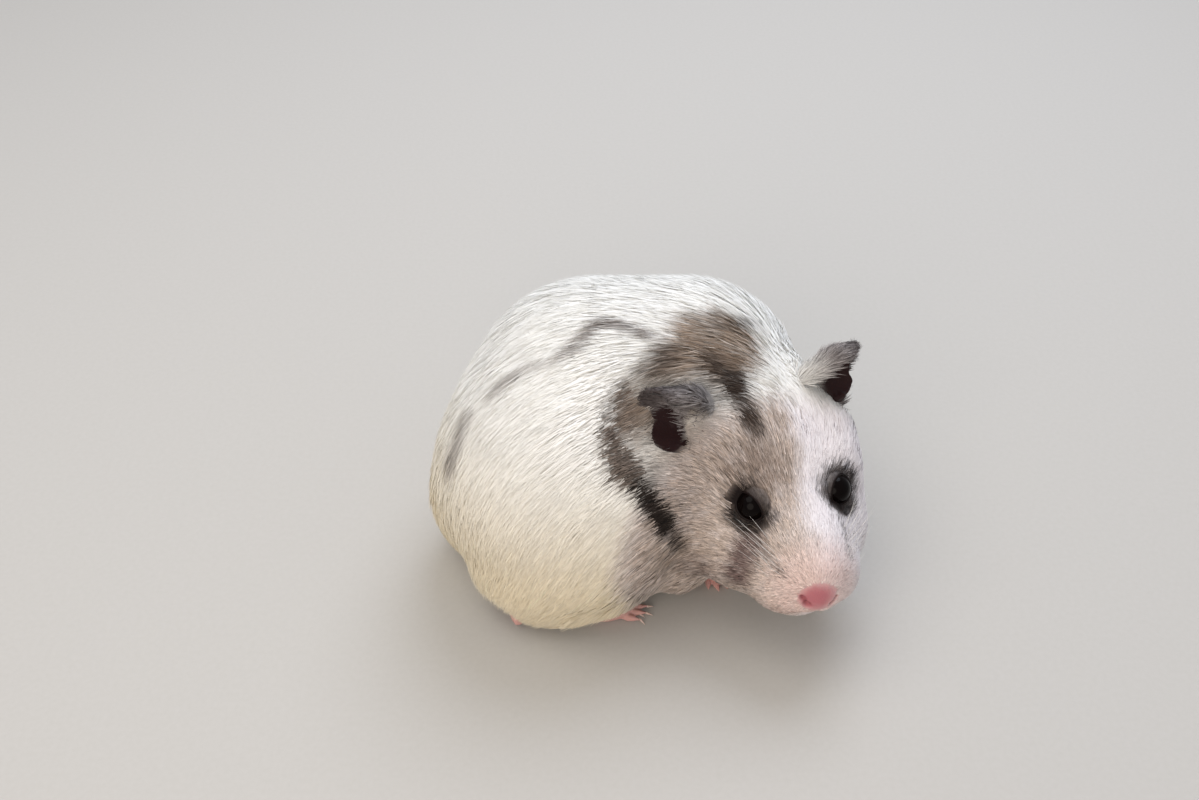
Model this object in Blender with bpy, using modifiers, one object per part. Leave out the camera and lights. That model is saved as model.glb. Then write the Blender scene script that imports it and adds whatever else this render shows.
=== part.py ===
"""A Syrian hamster at rest, life size, curled towards its right side with its head turned the same way.

The solids give the outer form of the coat. The whole animal is one smooth surface round a few
named masses (skull, cheeks, muzzle, neck, chest, belly, rump, thighs, upper arms), and thin cuts
part it into head, neck, chest, belly, rump and legs. Nose, eyes, ears, tail and paws are shaped
on their own. Metres, +Z up. The animal rests on z = 0, its rump towards -X and its nose
towards -Y.
"""

import math
from collections import namedtuple

import bmesh
import bpy
import numpy as np
from mathutils import Matrix, Vector

# Driving dimensions
CUT = 0.0003  # gap left between neighbouring parts
UP = Vector((0, 0, 1))

# The head's frame starts midway between the two eyeballs
HEAD_AT = Vector((0.0268, -0.0168, 0.0317))
HEAD_YAW = math.radians(16.5)  # turned from -Y towards +X
HEAD_PITCH = math.radians(20)  # nose down
HEAD_ROLL = math.radians(4)  # left side down

# The spine bends round this upright line
CURL_CENTRE = Vector((-0.0020, -0.0220, 0.0))
CURL_RADIUS = 0.0270
FAN = Vector((0.002, -0.060, 0))  # the cuts across the trunk fan out from this upright line

EYE_RADIUS = 0.0033
EYE_SIDE = 0.0088  # from the head's middle plane to the eyeball's centre
EYE_SOCKET = 0.0003  # room round the eyeball

HEAD_GRAIN = 0.0022  # size of the faces on the head
TRUNK_GRAIN = 0.0036  # size of the faces on neck, chest, belly, rump and legs
TAIL_GRAIN = 0.0012  # size of the faces on the tail
KEPT_FACES = 0.27  # of those faces, the share kept where the surface is nearly flat

Mass = namedtuple("Mass", "centre radii turn blend")
Frame = namedtuple("Frame", "origin turn")


# Frames and masses

def frame_of(origin, forward, up=UP):
    """A frame whose axes point forward, to the animal's left, and up."""
    forward = forward.normalized()
    left = up.cross(forward).normalized()
    return Frame(origin.copy(), Matrix((forward, left, forward.cross(left))).transposed())


def heading(yaw, pitch=0.0):
    """The way an animal faces that is turned by yaw from -Y towards +X, and by pitch nose down."""
    level = math.cos(pitch)
    return Vector((math.sin(yaw) * level, -math.cos(yaw) * level, -math.sin(pitch)))


def on_curl(degrees, height, outward=0.0):
    """The frame at one place of the curled spine. The animal faces towards smaller angles."""
    angle = math.radians(degrees)
    away = Vector((math.cos(angle), math.sin(angle), 0))
    origin = CURL_CENTRE + away * (CURL_RADIUS + outward) + UP * height
    return frame_of(origin, away.cross(UP))


def mass(frame, offset, radii, blend=0.0, tilt=0.0, turn=0.0):
    """An ellipsoid in a frame. Offset and radii run forward, left and up; tilt raises its front."""
    spin = Matrix.Rotation(turn, 3, "Z") @ Matrix.Rotation(-tilt, 3, "Y")
    return Mass(frame.origin + frame.turn @ Vector(offset), Vector(radii), frame.turn @ spin, blend)


def distance_to(points, one):
    """Nearly the distance from each point to an ellipsoid, negative inside it."""
    local = (points - np.array(one.centre)) @ np.array(one.turn)
    radii = np.array(one.radii)
    near = np.linalg.norm(local / radii, axis=1)
    steep = np.linalg.norm(local / radii**2, axis=1)
    return near * (near - 1) / np.maximum(steep, 1e-9)


def run_together(one, other, blend):
    """The nearer of two distances, with a fillet where they are alike."""
    share = np.clip(0.5 + 0.5 * (other - one) / blend, 0, 1)
    return other + (one - other) * share - blend * share * (1 - share)


def distance_to_all(points, masses):
    """The same to several ellipsoids run together."""
    total = distance_to(points, masses[0])
    for one in masses[1:]:
        total = run_together(total, distance_to(points, one), one.blend)
    return total


HEAD_FORWARD = heading(HEAD_YAW, HEAD_PITCH)
HEAD = frame_of(HEAD_AT, HEAD_FORWARD, Matrix.Rotation(-HEAD_ROLL, 3, HEAD_FORWARD) @ UP)
NECK = on_curl(57, 0.0335, 0.0070)
CHEST = on_curl(71, 0.0322, 0.0070)
BELLY = on_curl(107, 0.0292, 0.0014)
RUMP = on_curl(146, 0.0245, -0.0046)

TRUNK_MASSES = [
    mass(BELLY, (0, 0, 0), (0.0275, 0.0310, 0.0314), 0.010),
    mass(RUMP, (0, 0, 0), (0.0180, 0.0238, 0.0238), 0.012),
    mass(CHEST, (0, 0, 0), (0.0205, 0.0225, 0.0272), 0.010),
    mass(NECK, (0, 0, 0), (0.0150, 0.0165, 0.0165), 0.010),
]
SKULL_MASSES = [
    mass(HEAD, (-0.0135, 0, -0.0050), (0.0160, 0.0160, 0.0125), 0.006),
    *(mass(HEAD, (-0.0020, side * 0.0090, -0.0118), (0.0140, 0.0100, 0.0100), 0.006) for side in (1, -1)),
    *(mass(HEAD, (-0.0105, side * 0.0115, -0.0045), (0.0100, 0.0070, 0.0090), 0.005) for side in (1, -1)),
    mass(HEAD, (0.0078, 0, -0.0046), (0.0120, 0.0092, 0.0080), 0.006, tilt=-0.05),
    *(mass(HEAD, (0.0124, side * 0.0052, -0.0080), (0.0068, 0.0060, 0.0056), 0.003) for side in (1, -1)),
    mass(HEAD, (0.0066, 0, -0.0145), (0.0120, 0.0085, 0.0060), 0.004),
    mass(HEAD, (0.0172, 0, -0.0056), (0.0040, 0.0044, 0.0036), 0.002),
]
THIGHS = {
    "left": mass(on_curl(138, 0.0140, 0.0138), (0, 0, 0), (0.0150, 0.0092, 0.0130), 0.008),
    "right": mass(on_curl(150, 0.0138, -0.0152), (0, 0, 0), (0.0130, 0.0088, 0.0122), 0.008),
}
ARMS = {
    "left": mass(on_curl(20, 0.0120, 0.0085), (0, 0, 0), (0.0060, 0.0055, 0.0110), 0.006),
    "right": mass(on_curl(45, 0.0130, -0.0150), (0, 0, 0), (0.0060, 0.0055, 0.0120), 0.006),
}
# The coat parts round the right ear, which the curled body would bury otherwise
EAR_ROOM = mass(HEAD, (-0.0162, -0.0238, 0.0090), (0.0050, 0.0085, 0.0080), tilt=0.49)
COAT_MASSES = TRUNK_MASSES + SKULL_MASSES + list(THIGHS.values()) + list(ARMS.values())


# Objects and materials

def remove_everything():
    for obj in list(bpy.data.objects):
        bpy.data.objects.remove(obj)


def collection(name, helper=False):
    made = bpy.data.collections.new(name)
    made.hide_render = helper
    bpy.context.scene.collection.children.link(made)
    return made


def material(name, colour, roughness):
    made = bpy.data.materials.new(name)
    made.use_nodes = True
    shader = made.node_tree.nodes["Principled BSDF"]
    shader.inputs["Base Color"].default_value = (*colour, 1)
    shader.inputs["Roughness"].default_value = roughness
    shader.inputs["Metallic"].default_value = 0
    made.diffuse_color = (*colour, 1)
    return made


def new_object(name, bm, home):
    mesh = bpy.data.meshes.new(name)
    bm.to_mesh(mesh)
    bm.free()
    obj = bpy.data.objects.new(name, mesh)
    home.objects.link(obj)
    if home is helpers:
        obj.hide_render = True
        obj.display_type = "WIRE"
    return obj


def evaluated_mesh(obj):
    """The object's mesh with its modifiers applied."""
    graph = bpy.context.evaluated_depsgraph_get()
    return bpy.data.meshes.new_from_object(obj.evaluated_get(graph))


def boolean(obj, operation, cutter):
    modifier = obj.modifiers.new(f"{operation.title()} {cutter.name}", "BOOLEAN")
    modifier.operation = operation
    modifier.solver = "EXACT"
    modifier.object = cutter


def ellipsoid(bm, one, grow=0.0, segments=24, rings=14):
    matrix = Matrix.Translation(one.centre) @ one.turn.to_4x4()
    matrix @= Matrix.Diagonal((*(radius + grow for radius in one.radii), 1))
    bmesh.ops.create_uvsphere(bm, u_segments=segments, v_segments=rings, radius=1, matrix=matrix)


def ball(name, one, home, grow=0.0, segments=24, rings=14):
    bm = bmesh.new()
    ellipsoid(bm, one, grow, segments, rings)
    return new_object(name, bm, home)


def half_space(name, point, direction):
    """A big cutter that fills the side of a plane towards which direction points."""
    size = 0.3
    turn = direction.to_track_quat("Z", "Y").to_matrix().to_4x4()
    matrix = Matrix.Translation(point) @ turn @ Matrix.Translation((0, 0, size / 2))
    bm = bmesh.new()
    bmesh.ops.create_cube(bm, size=size, matrix=matrix)
    return new_object(name, bm, helpers)


# Surfaces round masses

def settled(points, masses, grow):
    """The points moved onto the surface round the masses, or outside it by grow."""
    step = 1e-5
    for _ in range(4):
        here = distance_to_all(points, masses) - grow
        slope = np.stack([
            distance_to_all(points + axis * step, masses) - grow - here for axis in np.eye(3)
        ], axis=1) / step
        slope /= np.maximum(np.linalg.norm(slope, axis=1, keepdims=True), 1e-6)
        points = points - slope * here[:, None]
    return points


def surface_round(name, masses, grain, grow=0.0):
    """One closed mesh round the masses: spheres remeshed together, evened out and settled."""
    bm = bmesh.new()
    for one in masses:
        ellipsoid(bm, one, grow)
    obj = new_object(name, bm, helpers)
    remesh = obj.modifiers.new("Remesh", "REMESH")
    remesh.mode = "VOXEL"
    remesh.voxel_size = grain
    mesh = evaluated_mesh(obj)
    obj.modifiers.clear()
    bm = bmesh.new()
    bm.from_mesh(mesh)
    for _ in range(6):
        bmesh.ops.smooth_vert(bm, verts=bm.verts, factor=0.5, use_axis_x=True, use_axis_y=True, use_axis_z=True)
        points = settled(np.array([vert.co for vert in bm.verts]), masses, grow)
        for vert, point in zip(bm.verts, points):
            vert.co = point
    bm.to_mesh(obj.data)
    bm.free()
    bpy.data.meshes.remove(mesh)
    fewer = obj.modifiers.new("Fewer faces", "DECIMATE")
    fewer.ratio = KEPT_FACES
    obj.data = evaluated_mesh(obj)
    obj.modifiers.clear()
    return obj


def body_part(name, shape, skin):
    """A visible part, made from a copy of a helper's mesh and cut off level at the floor."""
    obj = bpy.data.objects.new(name, shape.data.copy())
    body.objects.link(obj)
    obj.data.materials.clear()
    obj.data.materials.append(skin)
    obj.data.shade_smooth()
    boolean(obj, "DIFFERENCE", below_floor)
    return obj


remove_everything()
body = collection("syrian_hamster")
helpers = collection("cutters", helper=True)

WHITE_COAT = material("white_coat", (0.80, 0.77, 0.70), 0.9)
GREY_COAT = material("grey_coat", (0.42, 0.38, 0.35), 0.9)
PINK_SKIN = material("pink_skin", (0.72, 0.36, 0.35), 0.5)
EAR_SKIN = material("ear_skin", (0.14, 0.11, 0.11), 0.6)
EYE_BLACK = material("eye_black", (0.006, 0.005, 0.005), 0.05)

below_floor = half_space("below_floor", Vector((0, 0, 0)), -UP)
head_coat = surface_round("head_coat", COAT_MASSES, HEAD_GRAIN)
trunk_coat = surface_round("trunk_coat", COAT_MASSES, TRUNK_GRAIN)
round_coat = surface_round("round_coat", COAT_MASSES, HEAD_GRAIN, grow=CUT)
ear_room = ball("ear_room", EAR_ROOM, helpers, segments=16, rings=9)


# Head: what lies ahead of the neck plane and round the skull. Its coat covers cheeks and jaw
HEAD_ROOM = mass(HEAD, (-0.0020, 0, -0.0030), (0.0270, 0.0245, 0.0190))
NECK_POINT = HEAD.origin + HEAD.turn @ Vector((-0.0205, 0, 0))
NECK_AXIS = HEAD.turn @ Vector((0.96, 0, -0.28))

head = body_part("head", head_coat, GREY_COAT)
head_region = ball("head_region", HEAD_ROOM, helpers)
boolean(head_region, "INTERSECT", half_space("head_rear", NECK_POINT, NECK_AXIS))
boolean(head, "INTERSECT", head_region)
boolean(head, "DIFFERENCE", ear_room)
past_head = ball("past_head", HEAD_ROOM, helpers, grow=CUT)
boolean(past_head, "INTERSECT", half_space("past_head_rear", NECK_POINT - CUT * NECK_AXIS, NECK_AXIS))

# Nose: a blunt pad let into the end of the muzzle
NOSE_PAD = mass(HEAD, (0.0186, 0, -0.0040), (0.0038, 0.0042, 0.0038))
nose = body_part("nose", head_coat, PINK_SKIN)
boolean(nose, "INTERSECT", ball("nose_region", NOSE_PAD, helpers, segments=14, rings=8))
boolean(head, "DIFFERENCE", ball("nose_bed", NOSE_PAD, helpers, grow=CUT, segments=14, rings=8))

# Eyes: full eyeballs in their sockets
for side, sign in (("left", 1), ("right", -1)):
    eyeball = mass(HEAD, (0, sign * EYE_SIDE, 0), (EYE_RADIUS,) * 3)
    socket = ball(f"socket_{side}", eyeball, helpers, grow=EYE_SOCKET, segments=14, rings=8)
    boolean(head, "DIFFERENCE", socket)
    eye = ball(f"eye_{side}", eyeball, body, segments=14, rings=8)
    eye.data.materials.append(EYE_BLACK)
    eye.data.shade_smooth()


def fan_plane(degrees):
    """A plane across the trunk: a point on it, and the way towards the nose."""
    angle = math.radians(degrees)
    return FAN, Vector((math.cos(angle), -math.sin(angle), 0))


def before(name, plane):
    """A cutter ahead of a plane across the trunk."""
    return half_space(name, plane[0] - plane[1] * CUT / 2, plane[1])


SHOULDER_PLANE = fan_plane(15)
WAIST_PLANE = fan_plane(1)
HIP_PLANE = fan_plane(-15)

# Legs: the upper parts are bulges of the coat, each cut out by a ball round thigh or arm
LEG_ROOM = 0.0020  # how far a leg's part reaches past its own mass


def limb(name, one, neighbours=()):
    """One upper leg, and the cutter that keeps its place free in the trunk."""
    obj = body_part(name, trunk_coat, WHITE_COAT)
    region = mass(Frame(one.centre, one.turn), (0, 0, 0), [radius + LEG_ROOM for radius in one.radii])
    boolean(obj, "INTERSECT", ball(f"{name}_region", region, helpers, segments=14, rings=8))
    for cutter in neighbours:
        boolean(obj, "DIFFERENCE", cutter)
    return ball(f"{name}_place", region, helpers, grow=CUT, segments=14, rings=8)


hindleg_places = {side: limb(f"hindleg_{side}", one) for side, one in THIGHS.items()}
right_of_arm = [past_head, hindleg_places["right"], before("before_right_arm", SHOULDER_PLANE)]
foreleg_places = {
    "left": limb("foreleg_left", ARMS["left"], [past_head]),
    "right": limb("foreleg_right", ARMS["right"], right_of_arm),
}


# Trunk: four lengths between planes that fan out across the curl
def trunk_part(name, skin, neighbours, front=None, rear=None):
    """What lies behind the front plane and ahead of the rear plane, less the neighbours' places."""
    obj = body_part(name, trunk_coat, skin)
    if front:
        boolean(obj, "DIFFERENCE", before(f"before_{name}", front))
    if rear:
        boolean(obj, "INTERSECT", half_space(f"{name}_rear", rear[0] + rear[1] * CUT / 2, rear[1]))
    for cutter in neighbours:
        boolean(obj, "DIFFERENCE", cutter)


FORE_NEIGHBOURS = [past_head, foreleg_places["right"]]
trunk_part("neck", GREY_COAT, [past_head, foreleg_places["left"]], rear=SHOULDER_PLANE)
trunk_part("chest", WHITE_COAT, [*FORE_NEIGHBOURS, ear_room], front=SHOULDER_PLANE, rear=WAIST_PLANE)
rear_neighbours = [*FORE_NEIGHBOURS, hindleg_places["right"], ear_room]
trunk_part("belly", WHITE_COAT, rear_neighbours, front=WAIST_PLANE, rear=HIP_PLANE)
trunk_part("rump", WHITE_COAT, hindleg_places.values(), front=HIP_PLANE)


# Ears: a hood that opens forward and aside, its upper edge folded over and its rim notched
Ear = namedtuple("Ear", "root out length")
EARS = {
    "left": Ear(Vector((-0.0190, 0.0110, 0.0080)), Vector((-0.16, 0.93, 0.16)), 0.0090),
    "right": Ear(Vector((-0.0142, -0.0170, 0.0095)), Vector((-0.22, -0.95, 0.12)), 0.0115),
}
EAR_OPEN_FORWARD = 0.72
EAR_OPEN_ASIDE = 0.25
EAR_OPEN_UP = 0.42
EAR_SUNK = 0.0030  # how far the root reaches in under the coat
EAR_ROOT_RADIUS = 0.0038
EAR_RADIUS = 0.0058
EAR_DEPTH = 0.62  # of the radius
EAR_THICKNESS = 0.0009
EAR_LOWEST = math.radians(-85)  # the pinna curls round its length between these angles
EAR_HIGHEST = math.radians(125)


def ear_point(along, turn, length):
    """A point of the pinna: along runs from 0 at the root to 1 at the tip, turn round its length."""
    notch = 0.17 * math.exp(-(((turn + 0.42) / 0.28) ** 2))
    edge = 0.50 * abs(math.sin((turn - 0.30) * 0.60)) ** 3
    reach = (length + EAR_SUNK) * along * (1 - notch - edge) - EAR_SUNK
    swell = math.sin(math.pi * (0.15 + 0.62 * along))
    radius = EAR_ROOT_RADIUS + (EAR_RADIUS - EAR_ROOT_RADIUS) * swell
    return reach, radius * math.sin(turn), -EAR_DEPTH * radius * math.cos(turn)


def ear(side, sign, one):
    out = one.out.normalized()
    open_way = Vector((EAR_OPEN_FORWARD, sign * EAR_OPEN_ASIDE, EAR_OPEN_UP))
    open_way = (open_way - out * open_way.dot(out)).normalized()
    upward = open_way.cross(out) * sign
    bm = bmesh.new()
    bmesh.ops.create_grid(bm, x_segments=7, y_segments=12, size=1)
    for vert in bm.verts:
        turn = EAR_LOWEST + (EAR_HIGHEST - EAR_LOWEST) * (vert.co.y + 1) / 2
        reach, across, depth = ear_point((vert.co.x + 1) / 2, turn, one.length)
        vert.co = HEAD.origin + HEAD.turn @ (one.root + out * reach + upward * across + open_way * depth)
    sheet = new_object(f"ear_sheet_{side}", bm, helpers)
    thick = sheet.modifiers.new("Thickness", "SOLIDIFY")
    thick.thickness = EAR_THICKNESS
    thick.offset = 0
    shell = bmesh.new()
    shell.from_mesh(evaluated_mesh(sheet))
    sheet.modifiers.clear()
    bmesh.ops.recalc_face_normals(shell, faces=shell.faces)
    shell.to_mesh(sheet.data)
    shell.free()
    boolean(body_part(f"ear_{side}", sheet, EAR_SKIN), "DIFFERENCE", past_coat)


past_coat = surface_round("past_coat", COAT_MASSES, HEAD_GRAIN, grow=2 * CUT)
boolean(past_coat, "DIFFERENCE", ball("past_coat_room", EAR_ROOM, helpers, -2 * CUT, 16, 9))
for side, sign in (("left", 1), ("right", -1)):
    ear(side, sign, EARS[side])


# Paws: a palm with a fan of toes, each ending in a small claw
Paw = namedtuple("Paw", "at yaw palm toes reach spread")
FORE_PALM = (0.0030, 0.0024, 0.0017)
HIND_SOLE = (0.0058, 0.0029, 0.0019)
TOE_RADIUS = 0.00080
PAWS = {
    "forepaw_left": Paw(Vector((0.0330, -0.0120)), 12, FORE_PALM, 4, 0.0024, 46),
    "forepaw_right": Paw(Vector((0.0135, -0.0080)), 22, FORE_PALM, 4, 0.0024, 46),
    "hindfoot_left": Paw(Vector((-0.0330, 0.0110)), 148, HIND_SOLE, 5, 0.0030, 44),
    "hindfoot_right": Paw(Vector((-0.0085, -0.0190)), 100, HIND_SOLE, 5, 0.0030, 44),
}


def toe_and_claw(frame, root, angle, reach):
    """One toe that fans out by angle from a root on the palm's front edge, and its claw."""
    aim = frame.turn @ Vector((math.cos(angle), math.sin(angle), 0))
    bone = frame_of(frame.origin + frame.turn @ root, aim)
    toe = mass(bone, (reach / 2, 0, 0), (reach / 2 + TOE_RADIUS, TOE_RADIUS, TOE_RADIUS))
    claw = mass(bone, (reach + 0.0006, 0, 0), (0.0010, 0.00036, 0.00042), tilt=-0.25)
    return toe, claw


def paw(name, one):
    frame = frame_of(Vector((*one.at, one.palm[2] * 0.80)), heading(math.radians(one.yaw)))
    solid = ball(f"{name}_palm", mass(frame, (0, 0, 0), one.palm), helpers, segments=12, rings=7)
    for index in range(one.toes):
        share = index / (one.toes - 1) - 0.5
        root = Vector((one.palm[0] * (0.72 - 0.9 * share**2), one.palm[1] * 1.35 * share, -0.0006))
        angle = math.radians(one.spread) * share
        toe, claw = toe_and_claw(frame, root, angle, one.reach * (1 - 0.9 * share**2))
        boolean(solid, "UNION", ball(f"{name}_toe_{index}", toe, helpers, segments=6, rings=4))
        boolean(solid, "UNION", ball(f"{name}_claw_{index}", claw, helpers, segments=4, rings=3))
    joined = new_object(f"{name}_whole", bmesh.new(), helpers)
    joined.data = evaluated_mesh(solid)
    boolean(body_part(name, joined, PINK_SKIN), "DIFFERENCE", round_coat)


for name, one in PAWS.items():
    paw(name, one)

# Tail: a short tapered stub tucked down behind the rump
TAIL_ROOT = Vector((-0.0290, -0.0120, 0.0075))
TAIL_TIP = Vector((-0.0265, -0.0225, 0.0020))
tail_masses = []
for share in (0.0, 0.3, 0.6, 0.85):
    stretch = frame_of(TAIL_ROOT.lerp(TAIL_TIP, share), TAIL_TIP - TAIL_ROOT)
    radius = 0.0024 - 0.0012 * share
    tail_masses.append(mass(stretch, (0, 0, 0), (0.0030, radius, radius), 0.001))
tail = body_part("tail", surface_round("tail_form", tail_masses, TAIL_GRAIN), PINK_SKIN)
boolean(tail, "DIFFERENCE", round_coat)


# Last, each part keeps its one whole piece, and the middle of the animal's box becomes the origin
MIDDLE = Vector((-0.00105, 0.0006, 0))
SAME_POINT = 2e-6  # points nearer than this become one


def connected_to(face):
    """The faces reached from this one across edges that just two faces share."""
    found = {face}
    to_visit = [face]
    while to_visit:
        here = to_visit.pop()
        for edge in [edge for edge in here.edges if len(edge.link_faces) == 2]:
            for other in edge.link_faces:
                if other not in found:
                    found.add(other)
                    to_visit.append(other)
    return found


def whole_piece(mesh):
    """Removes from a mesh all but its largest piece: the cuts leave slivers where two of them nearly meet."""
    bm = bmesh.new()
    bm.from_mesh(mesh)
    bmesh.ops.remove_doubles(bm, verts=bm.verts, dist=SAME_POINT)
    rest = set(bm.faces)
    largest = set()
    while rest:
        piece = connected_to(next(iter(rest)))
        rest -= piece
        largest = max(largest, piece, key=len)
    slivers = [face for face in bm.faces if face not in largest]
    bmesh.ops.delete(bm, geom=slivers, context="FACES")
    bm.to_mesh(mesh)
    bm.free()


finished = {obj: evaluated_mesh(obj) for obj in body.objects}
for obj, mesh in finished.items():
    whole_piece(mesh)
    mesh.transform(Matrix.Translation(-MIDDLE))
    obj.modifiers.clear()
    obj.data = mesh
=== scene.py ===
"""A Syrian hamster resting on its belly, curled to its right, in a long soft coat."""

import math

import bmesh
import bpy
import numpy as np
from mathutils import Matrix, Vector
from mathutils.bvhtree import BVHTree
from mathutils.kdtree import KDTree


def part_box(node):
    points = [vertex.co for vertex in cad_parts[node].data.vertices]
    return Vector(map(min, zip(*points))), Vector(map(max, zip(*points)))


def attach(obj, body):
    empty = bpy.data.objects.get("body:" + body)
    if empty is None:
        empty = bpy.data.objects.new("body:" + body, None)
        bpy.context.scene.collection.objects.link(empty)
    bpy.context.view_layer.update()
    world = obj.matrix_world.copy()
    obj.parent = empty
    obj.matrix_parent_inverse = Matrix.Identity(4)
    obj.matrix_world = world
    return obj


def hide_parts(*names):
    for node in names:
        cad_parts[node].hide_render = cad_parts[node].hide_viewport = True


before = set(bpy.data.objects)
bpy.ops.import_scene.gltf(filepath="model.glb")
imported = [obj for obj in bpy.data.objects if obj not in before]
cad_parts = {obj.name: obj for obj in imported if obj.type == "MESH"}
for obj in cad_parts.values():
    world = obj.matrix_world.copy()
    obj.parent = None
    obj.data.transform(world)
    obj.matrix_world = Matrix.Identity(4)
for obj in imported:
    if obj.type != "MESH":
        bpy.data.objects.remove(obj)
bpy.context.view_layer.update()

# Skin: the one warm hide under the coat. The flesh parts are closed into a single surface,
# evened out, and set in by the coat's depth, which is least on nose and feet and most on the
# trunk. Places are shares of a body part's box, or in the head's axes: forward, left and up.
MM = 0.001


def at(node, share):
    low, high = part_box(node)
    return np.array([low[i] + (high[i] - low[i]) * share[i] for i in range(3)])


def unit(vectors):
    return vectors / np.maximum(np.linalg.norm(vectors, axis=-1, keepdims=True), 1e-12)


def ramp(value, start, end):
    """0 at start, 1 at end, eased at both."""
    share = np.clip((value - start) / (end - start), 0, 1)
    return share * share * (3 - 2 * share)


def fade(value, start, end):
    """1 at start, 0 at end, eased at both."""
    return 1 - ramp(value, start, end)


def apart(points, place):
    """Millimetres between points and a place."""
    return np.linalg.norm(points - place, axis=-1) / MM


SIDES = ("left", "right")
EYE_MIDDLE = {side: at(f"eye_{side}", (0.5, 0.5, 0.5)) for side in SIDES}
NOSE_AT = at("nose", (0.36, 0.5, 0.55))
BROW_AT = (EYE_MIDDLE["left"] + EYE_MIDDLE["right"]) / 2
HEAD_LEFT = unit(EYE_MIDDLE["left"] - EYE_MIDDLE["right"])
HEAD_FORWARD = unit(NOSE_AT - BROW_AT - HEAD_LEFT * np.dot(NOSE_AT - BROW_AT, HEAD_LEFT))
HEAD_UP = np.cross(HEAD_FORWARD, HEAD_LEFT)


def head_place(forward, left, up):
    return BROW_AT + (forward * HEAD_FORWARD + left * HEAD_LEFT + up * HEAD_UP) * MM


def from_nose(points):
    return apart(points, NOSE_AT)


# Each ear: where its length starts in the head, and which way it runs
EAR_ROOT = {"ear_left": head_place(-20.3, 11.0, 3.8), "ear_right": head_place(-15.9, -17.0, 6.3)}
EAR_OUT = {
    "ear_left": unit(-0.20 * HEAD_FORWARD + 0.97 * HEAD_LEFT + 0.13 * HEAD_UP),
    "ear_right": unit(-0.24 * HEAD_FORWARD - 0.97 * HEAD_LEFT + 0.07 * HEAD_UP),
}

BED_OUT = 6 * MM  # from an ear's root out to the middle of its bed

# The middle of each ear's dark, naked hollow
HOLLOW_AT = {
    name: root + (5.4 * EAR_OUT[name] + 2.0 * HEAD_FORWARD - 1.0 * HEAD_UP) * MM
    for name, root in EAR_ROOT.items()
}


def from_hollow(name, points):
    return apart(points, HOLLOW_AT[name])


LIMB_OF = {f"forepaw_{side}": f"foreleg_{side}" for side in SIDES}
LIMB_OF.update({f"hindfoot_{side}": f"hindleg_{side}" for side in SIDES})
FLESH = ["head", "nose", "neck", "chest", "belly", "rump", *LIMB_OF.values()]
PAWS = list(LIMB_OF)
SAME_POINT = 0.002 * MM
SKIN_SWELL = 0.22 * MM  # so that the parts meet
SKIN_GRAIN = 0.8 * MM
COAT_STEPS = (3, 7, 14, 22, 30, 38, 48)  # millimetres from the nose
COAT_DEPTH = (0.15, 0.45, 0.8, 1.2, 1.8, 3.2, 4.8)  # millimetres, at those steps


def coat_room(points):
    """Share of the full coat that there is room for: little under the animal and at its feet."""
    room = 0.25 + 0.75 * ramp(points[:, 2] / MM, 0.0, 9.0)
    for paw in PAWS + ["tail"]:
        room = np.minimum(room, 0.2 + 0.8 * ramp(apart(points, at(paw, (0.5, 0.5, 0.5))), 4.0, 14.0))
    for name in EAR_ROOT:
        gap = np.linalg.norm(points - EAR_ROOT[name] - BED_OUT * EAR_OUT[name], axis=1) / MM
        room = np.minimum(room, 0.25 + 0.75 * ramp(gap, 7.0, 15.0))
    return room


def coat_depth(points):
    """How far the hide lies under the coat's tips."""
    depth = np.interp(from_nose(points), COAT_STEPS, COAT_DEPTH) * coat_room(points)
    for middle in EYE_MIDDLE.values():
        depth = depth * (0.35 + 0.65 * ramp(apart(points, middle), 3.5, 8.0))
    return depth * MM


def rows(items, field, width, kind=np.float32):
    """One field of all a mesh's points, edges or triangles, a row for each."""
    flat = np.empty(len(items) * width, kind)
    items.foreach_get(field, flat)
    return flat.reshape(-1, width)


def mesh_points(mesh):
    return rows(mesh.vertices, "co", 3).astype(float)


def mesh_normals(mesh):
    return rows(mesh.vertex_normals, "vector", 3).astype(float)


def move_points(mesh, points):
    mesh.vertices.foreach_set("co", points.astype(np.float32).ravel())
    mesh.update()


def placed(name, data):
    """A new object in the scene, at the origin."""
    piece = bpy.data.objects.new(name, data)
    bpy.context.scene.collection.objects.link(piece)
    return piece


def new_piece(name, bm):
    mesh = bpy.data.meshes.new(name)
    bm.to_mesh(mesh)
    bm.free()
    return placed(name, mesh)


def solid_copy(node):
    """A copy of a body part's solid to work on, with its loose triangles merged."""
    bm = bmesh.new()
    bm.from_mesh(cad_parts[node].data)
    bmesh.ops.remove_doubles(bm, verts=bm.verts, dist=SAME_POINT)
    return bm


def joined_copy(name, nodes, swell):
    """The nodes' shapes in one mesh, each swollen a little so that they meet."""
    bm = bmesh.new()
    for node in nodes:
        part = solid_copy(node)
        bmesh.ops.recalc_face_normals(part, faces=part.faces)
        part.normal_update()
        for vert in part.verts:
            vert.co += vert.normal * swell
        mesh = bpy.data.meshes.new(node)
        part.to_mesh(mesh)
        part.free()
        bm.from_mesh(mesh)
        bpy.data.meshes.remove(mesh)
    return new_piece(name, bm)


def finish_modifiers(piece):
    """The piece keeps the mesh that its modifiers make, and loses them."""
    graph = bpy.context.evaluated_depsgraph_get()
    mesh = bpy.data.meshes.new_from_object(piece.evaluated_get(graph))
    piece.modifiers.clear()
    piece.data = mesh
    return mesh


def remesh_evenly(piece, grain, rounds):
    """Closes a piece into one surface of even faces, smoothed in rounds."""
    closed = piece.modifiers.new("Closed", "REMESH")
    closed.mode = "VOXEL"
    closed.voxel_size = grain
    even = piece.modifiers.new("Even", "SMOOTH")
    even.factor = 0.5
    even.iterations = rounds
    return finish_modifiers(piece)


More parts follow.
